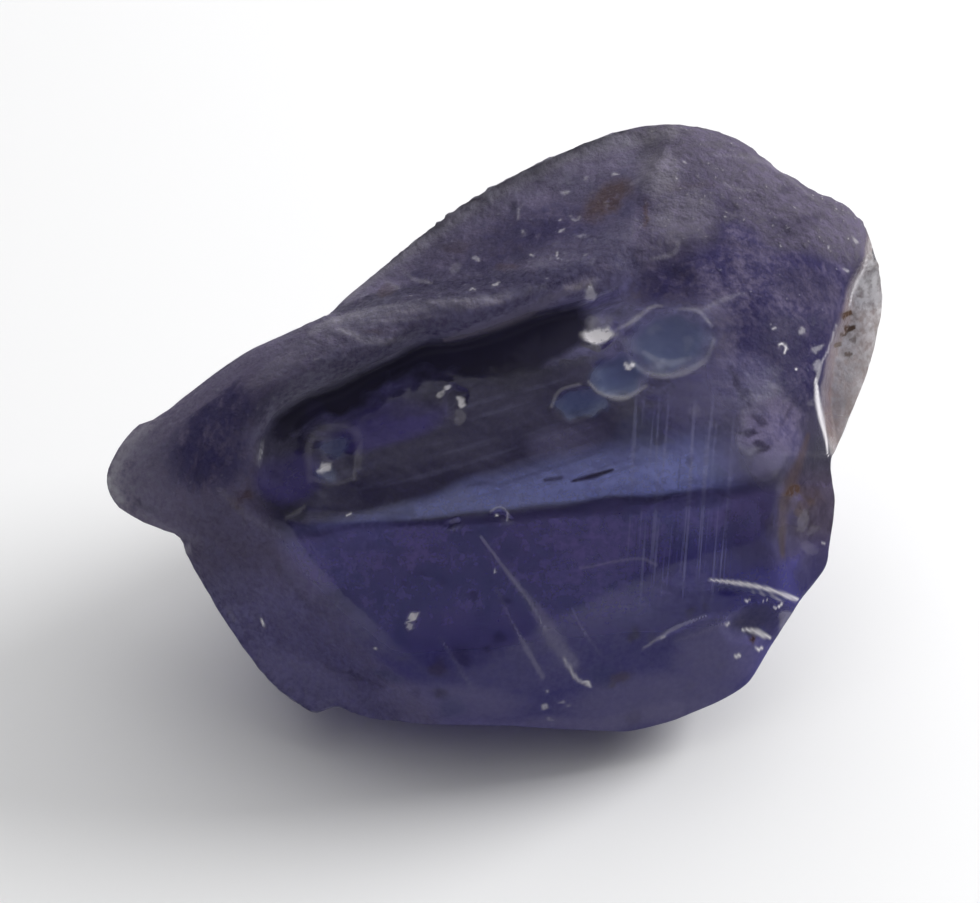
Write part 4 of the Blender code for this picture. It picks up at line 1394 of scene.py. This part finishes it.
@dataclass(frozen=True)
class SpinelFinish:
    """Blue-violet spinel: glassy where it broke, frosted where water wore it."""

    ior: float = 1.718
    absorb: Colour = (0.12, 0.06, 0.55, 1.0)
    density: float = 430.0
    clear: Colour = (0.96, 0.96, 0.98, 1.0)
    upper: Colour = (0.022, 0.020, 0.034, 1.0)
    window: Colour = (0.028, 0.024, 0.056, 1.0)
    lower_mauve: Colour = (0.17, 0.135, 0.36, 1.0)
    lower_blue: Colour = (0.070, 0.085, 0.21, 1.0)
    foot: Colour = (0.038, 0.033, 0.175, 1.0)
    skin_light: Colour = (0.120, 0.102, 0.168, 1.0)
    skin_dark: Colour = (0.012, 0.008, 0.056, 1.0)
    crest: Colour = (0.074, 0.064, 0.086, 1.0)
    # painted sheen: the bright band over the shelf stands in for the sky's reflection
    sheen_band: Colour = (0.22, 0.245, 0.57, 1.0)
    # lavender, partly painted light along the bottom edge
    lift_and_light: Colour = (0.165, 0.150, 0.290, 1.0)
    scratch: Colour = (0.25, 0.25, 0.43, 1.0)
    foot_skin: Colour = (0.075, 0.064, 0.165, 1.0)
    glow: Colour = (0.038, 0.027, 0.135, 1.0)
    # painted shade for the hollow under the ridge
    deep: Colour = (0.020, 0.018, 0.032, 1.0)
    lobe: Colour = (0.18, 0.125, 0.115, 1.0)
    # painted glints and highlights share this pale colour with real pale marks
    pale_and_glint: Colour = (0.92, 0.89, 0.92, 1.0)
    # painted shade in creases and hollows shares this dark colour with real pits and flaws
    dark_and_shade: Colour = (0.018, 0.014, 0.036, 1.0)
    rust: Colour = (0.054, 0.030, 0.018, 1.0)
    blue: Colour = (0.036, 0.050, 0.130, 1.0)
    shine: Colour = (0.135, 0.165, 0.260, 1.0)
    stain_dark: Colour = (0.020, 0.013, 0.026, 1.0)
    stain_pale: Colour = (0.056, 0.042, 0.078, 1.0)

    def veil_colour(self, g: Graph, zones: Columns, marks: Columns, lines: Columns, coat: Columns,
                    extra: Columns, slow: Value, mottle: Value) -> Value:
        """Colour of the thin haze on the surface.

        Args:
            g: the material's graph.
            zones: frosted skin, painted sheen band, painted shade of the hollow, and lobe.
            marks: pale marks with painted glints, dark marks with painted shade, rusty and blue marks.
            lines: bright lines, level lines, the pale crest and the lower face.
            coat: the haze's share, the foot, the satin places and the dull places with painted shade.
            extra: the violet glow, the shine in the chips, the stained right end and the lavender places,
                with painted light along the bottom edge.
            slow: broad blotches.
            mottle: small blotches.

        Returns:
            The colour.
        """
        frost, sheen_band, deep, lobe = zones
        pale_and_glint, dark_and_shade, rust, blue = marks
        bright, level, crest, lower = lines
        _, foot, _, dull_and_shade = coat
        glow, shine, right, lift_and_light = extra
        front = g.mix(level, self.upper, self.window)
        front = g.mix(lower, front, g.mix(0.35 * slow + 0.5 * mottle, self.lower_mauve, self.lower_blue))
        front = g.mix(foot, front, self.foot)
        front = g.mix(right, front, g.mix(mottle, self.stain_dark, self.stain_pale))
        # painted shade: the dull places darken the skin toward its dark colour
        patches = dull_and_shade + (mottle - 0.5) * 0.8 + (slow - 0.5) * 0.35
        skin = g.mix(g.ramp(patches, 0.0, 1.0), self.skin_light, self.skin_dark)
        skin = g.mix(crest * (0.2 + 0.8 * mottle), skin, self.crest)
        skin = g.mix(foot, skin, self.foot_skin)
        colour = g.mix(g.ramp(frost, 0.0, 0.35), front, skin)
        colour = g.mix(sheen_band, colour, self.sheen_band)
        colour = g.mix(bright, colour, self.scratch)
        blue_tone = g.mix(shine * (0.45 + 0.55 * mottle), self.blue, self.shine)
        # the hollow under the ridge gets painted shade here, the bottom edge painted light, and the glint and
        # shade marks their painted glints and shade
        for cover, tone in ((lobe, self.lobe), (lift_and_light, self.lift_and_light), (deep, self.deep), (glow, self.glow),
                            (blue, blue_tone), (dark_and_shade, self.dark_and_shade), (rust, self.rust), (pale_and_glint, self.pale_and_glint)):
            colour = g.mix(cover, colour, tone)
        return colour

    def build(self) -> bpy.types.Material:
        """Make the material.

        Returns:
            The crystal's material.
        """
        g = Graph(bpy.data.materials.new("spinel"))
        place = g.node("ShaderNodeTexCoord", {}, out="Object")
        zones, marks = g.columns("zones"), g.columns("marks")
        frost, _, deep, _ = zones
        pale_and_glint, dark_and_shade, rust, blue = marks
        upright_lines, level_lines, crest, lower = g.columns("lines")
        coat, extra = g.columns("coat"), g.columns("extra")
        slow = g.ramp(g.noise(place, 1.3), 0.35, 0.65)
        grain = g.noise(place, 14.0, 4.0)
        fine = g.ramp(g.noise(place, 4.5, 4.0), 0.24, 0.76)
        mottle = 0.55 * fine + 0.45 * g.ramp(grain, 0.36, 0.64)
        upright = g.lines(place, 86.0, 0.30, 17.0)
        level = g.lines(place, 17.0, 0.8, 9.0)
        bright = upright_lines * g.ramp(upright, 0.54, 0.62) * 0.5
        bright = bright + level_lines * g.ramp(level, 0.52, 0.68) * 0.09
        dim = upright_lines * g.ramp(upright, 0.42, 0.34) * 0.25
        dim = dim + level_lines * g.ramp(level, 0.48, 0.34) * 0.3
        spark = frost * g.ramp(grain, 0.66, 0.72) * 0.3
        pale_and_glint = pale_and_glint * pale_and_glint * g.ramp(grain, 0.22, 0.46, 0.5, 1.0)
        pale_and_glint = g.maths("MAXIMUM", pale_and_glint, spark)
        dark_and_shade = g.maths("MAXIMUM", dark_and_shade, dim)
        rust = rust * g.ramp(grain, 0.30, 0.50, 0.6, 1.0)
        marks = (pale_and_glint, dark_and_shade, rust, blue)
        lines = (bright, level_lines, crest, lower)
        bump = g.node("ShaderNodeBump", {"Height": frost * grain, "Strength": 0.9, "Distance": 0.00004})
        roughness = 0.10 + 0.62 * g.ramp(frost, 0.0, 0.45) + 0.2 * pale_and_glint + 0.35 * blue + 0.24 * coat[2]
        both = {"Roughness": roughness, "IOR": self.ior, "Normal": bump}
        tint = self.veil_colour(g, zones, marks, lines, coat, extra, slow, mottle)
        kind = "ShaderNodeBsdfPrincipled"
        glass = g.node(kind, {"Base Color": self.clear, "Transmission Weight": 1.0, **both})
        veil = g.node(kind, {"Base Color": tint, "Specular IOR Level": 0.0, **both})
        depth = 0.25 + 0.40 * g.ramp(frost, 0.0, 0.35)
        share = 1.0 - (1.0 - coat[0]) * (1.0 + depth * (2.0 * mottle - 1.0))
        for cover in (0.95 * deep, 0.8 * extra[0], 0.92 * pale_and_glint, 0.75 * dark_and_shade, 1.1 * rust, 0.80 * blue):
            share = g.maths("MAXIMUM", share, cover)
        share = g.maths("MINIMUM", share, 0.96)
        surface = g.node("ShaderNodeMixShader", {0: share, 1: glass, 2: veil})
        volume = g.node("ShaderNodeVolumeAbsorption", {"Color": self.absorb, "Density": self.density})
        return g.finish("ShaderNodeOutputMaterial", Surface=surface, Volume=volume)


@dataclass(frozen=True)
class Lamp:
    """A round soft lamp aimed at the stage's middle."""

    name: str
    toward: tuple[float, float, float]
    distance: float
    half_angle: float
    radiance: float

    def build(self) -> None:
        """Hang the lamp: its power is its radiance times its area times pi."""
        radius = self.distance * math.tan(math.radians(self.half_angle))
        light = bpy.data.lights.new(self.name, "AREA")
        light.shape = "DISK"
        light.size = 2 * radius
        light.energy = self.radiance * math.pi**2 * radius**2
        holder = bpy.data.objects.new(self.name, light)
        bpy.context.scene.collection.objects.link(holder)
        toward = Vector(self.toward).normalized()
        holder.location = toward * self.distance
        holder.visible_camera = False
        holder.rotation_mode = "QUATERNION"
        holder.rotation_quaternion = (-toward).to_track_quat("-Z", "Y")


@dataclass(frozen=True)
class Studio:
    """The pale floor, the soft light round the crystal, and the camera."""

    pixels_per_mm: float = 80.0
    width: int = 980
    height: int = 903
    distance: float = 0.25
    elevation: float = math.radians(40.0)
    middle: tuple[float, float] = (495, 724)
    film: float = 36.0
    sky_bright: tuple[float, float, float] = (0.2, 0.85, 0.48)
    sky_fill: tuple[float, float, float] = (-0.45, -0.50, 0.74)
    lamp: Lamp = Lamp("side_lamp", (0.807, 0.359, 0.469), 0.070, 13.0, 19.0)

    def floor(self) -> bpy.types.Object:
        """Make the pale floor.

        Returns:
            Its object.
        """
        mesh = bpy.data.meshes.new("floor")
        size, low = 0.3, -0.00002
        mesh.from_pydata([(-size, -size, low), (size, -size, low), (size, size, low), (-size, size, low)],
                         [], [(0, 1, 2, 3)])
        piece = bpy.data.objects.new("floor", mesh)
        bpy.context.scene.collection.objects.link(piece)
        g = Graph(bpy.data.materials.new("pale_floor"))
        paper = g.node("ShaderNodeBsdfPrincipled", {"Base Color": (0.86, 0.86, 0.865, 1.0), "Roughness": 0.7})
        mesh.materials.append(g.finish("ShaderNodeOutputMaterial", Surface=paper))
        return piece

    def light(self) -> None:
        """Light the stage: a soft sky, brightest behind, with a soft fill in front, and a side lamp."""
        world = bpy.data.worlds.new("studio")
        bpy.context.scene.world = world
        g = Graph(world)
        toward = g.node("ShaderNodeTexCoord", {}, out="Generated")
        behind, fill = g.dot(toward, self.sky_bright), g.dot(toward, self.sky_fill)
        strength = 0.03 + g.ramp(behind, 0.05, 0.95, 0.0, 1.40) + g.ramp(fill, 0.84, 0.97, 0.0, 0.7)
        sky = g.node("ShaderNodeBackground", {"Color": (1.0, 1.0, 1.0, 1.0), "Strength": strength})
        g.finish("ShaderNodeOutputWorld", Surface=sky)
        self.lamp.build()

    def camera(self, shift: tuple[float, float]) -> None:
        """Place the camera so that the leaning plane fills the picture at its scale.

        Args:
            shift: how far the crystal's own axes lie from the leaning frame's origin.
        """
        data = bpy.data.cameras.new("camera")
        data.lens = self.film * self.distance / (self.width / self.pixels_per_mm * MM)
        data.sensor_width = self.film
        data.clip_start, data.clip_end = 0.01, 2.0
        holder = bpy.data.objects.new("camera", data)
        bpy.context.scene.collection.objects.link(holder)
        bpy.context.scene.camera = holder
        across = (self.width / 2 - self.middle[0]) / self.pixels_per_mm
        rise = (self.middle[1] - self.height / 2) / self.pixels_per_mm
        target = Lean(self.elevation).to_part(np.array(across), np.array(rise), np.array(0.0))
        target = Vector((target - [*shift, 0]) * MM)
        back = Vector((0.0, -math.cos(self.elevation), math.sin(self.elevation)))
        holder.location = target + back * self.distance
        holder.rotation_mode = "QUATERNION"
        holder.rotation_quaternion = (-back).to_track_quat("-Z", "Y")


def main() -> None:
    """Build everything in order."""
    logging.basicConfig(level=logging.INFO, format="%(name)s: %(message)s")
    crystal = Crystal()
    piece = crystal.build()
    piece.data.materials.append(SpinelFinish().build())
    studio = Studio()
    studio.floor()
    studio.light()
    studio.camera(crystal.shift)
    bpy.context.scene.view_settings.view_transform = "Standard"


if __name__ == "__main__":
    main()
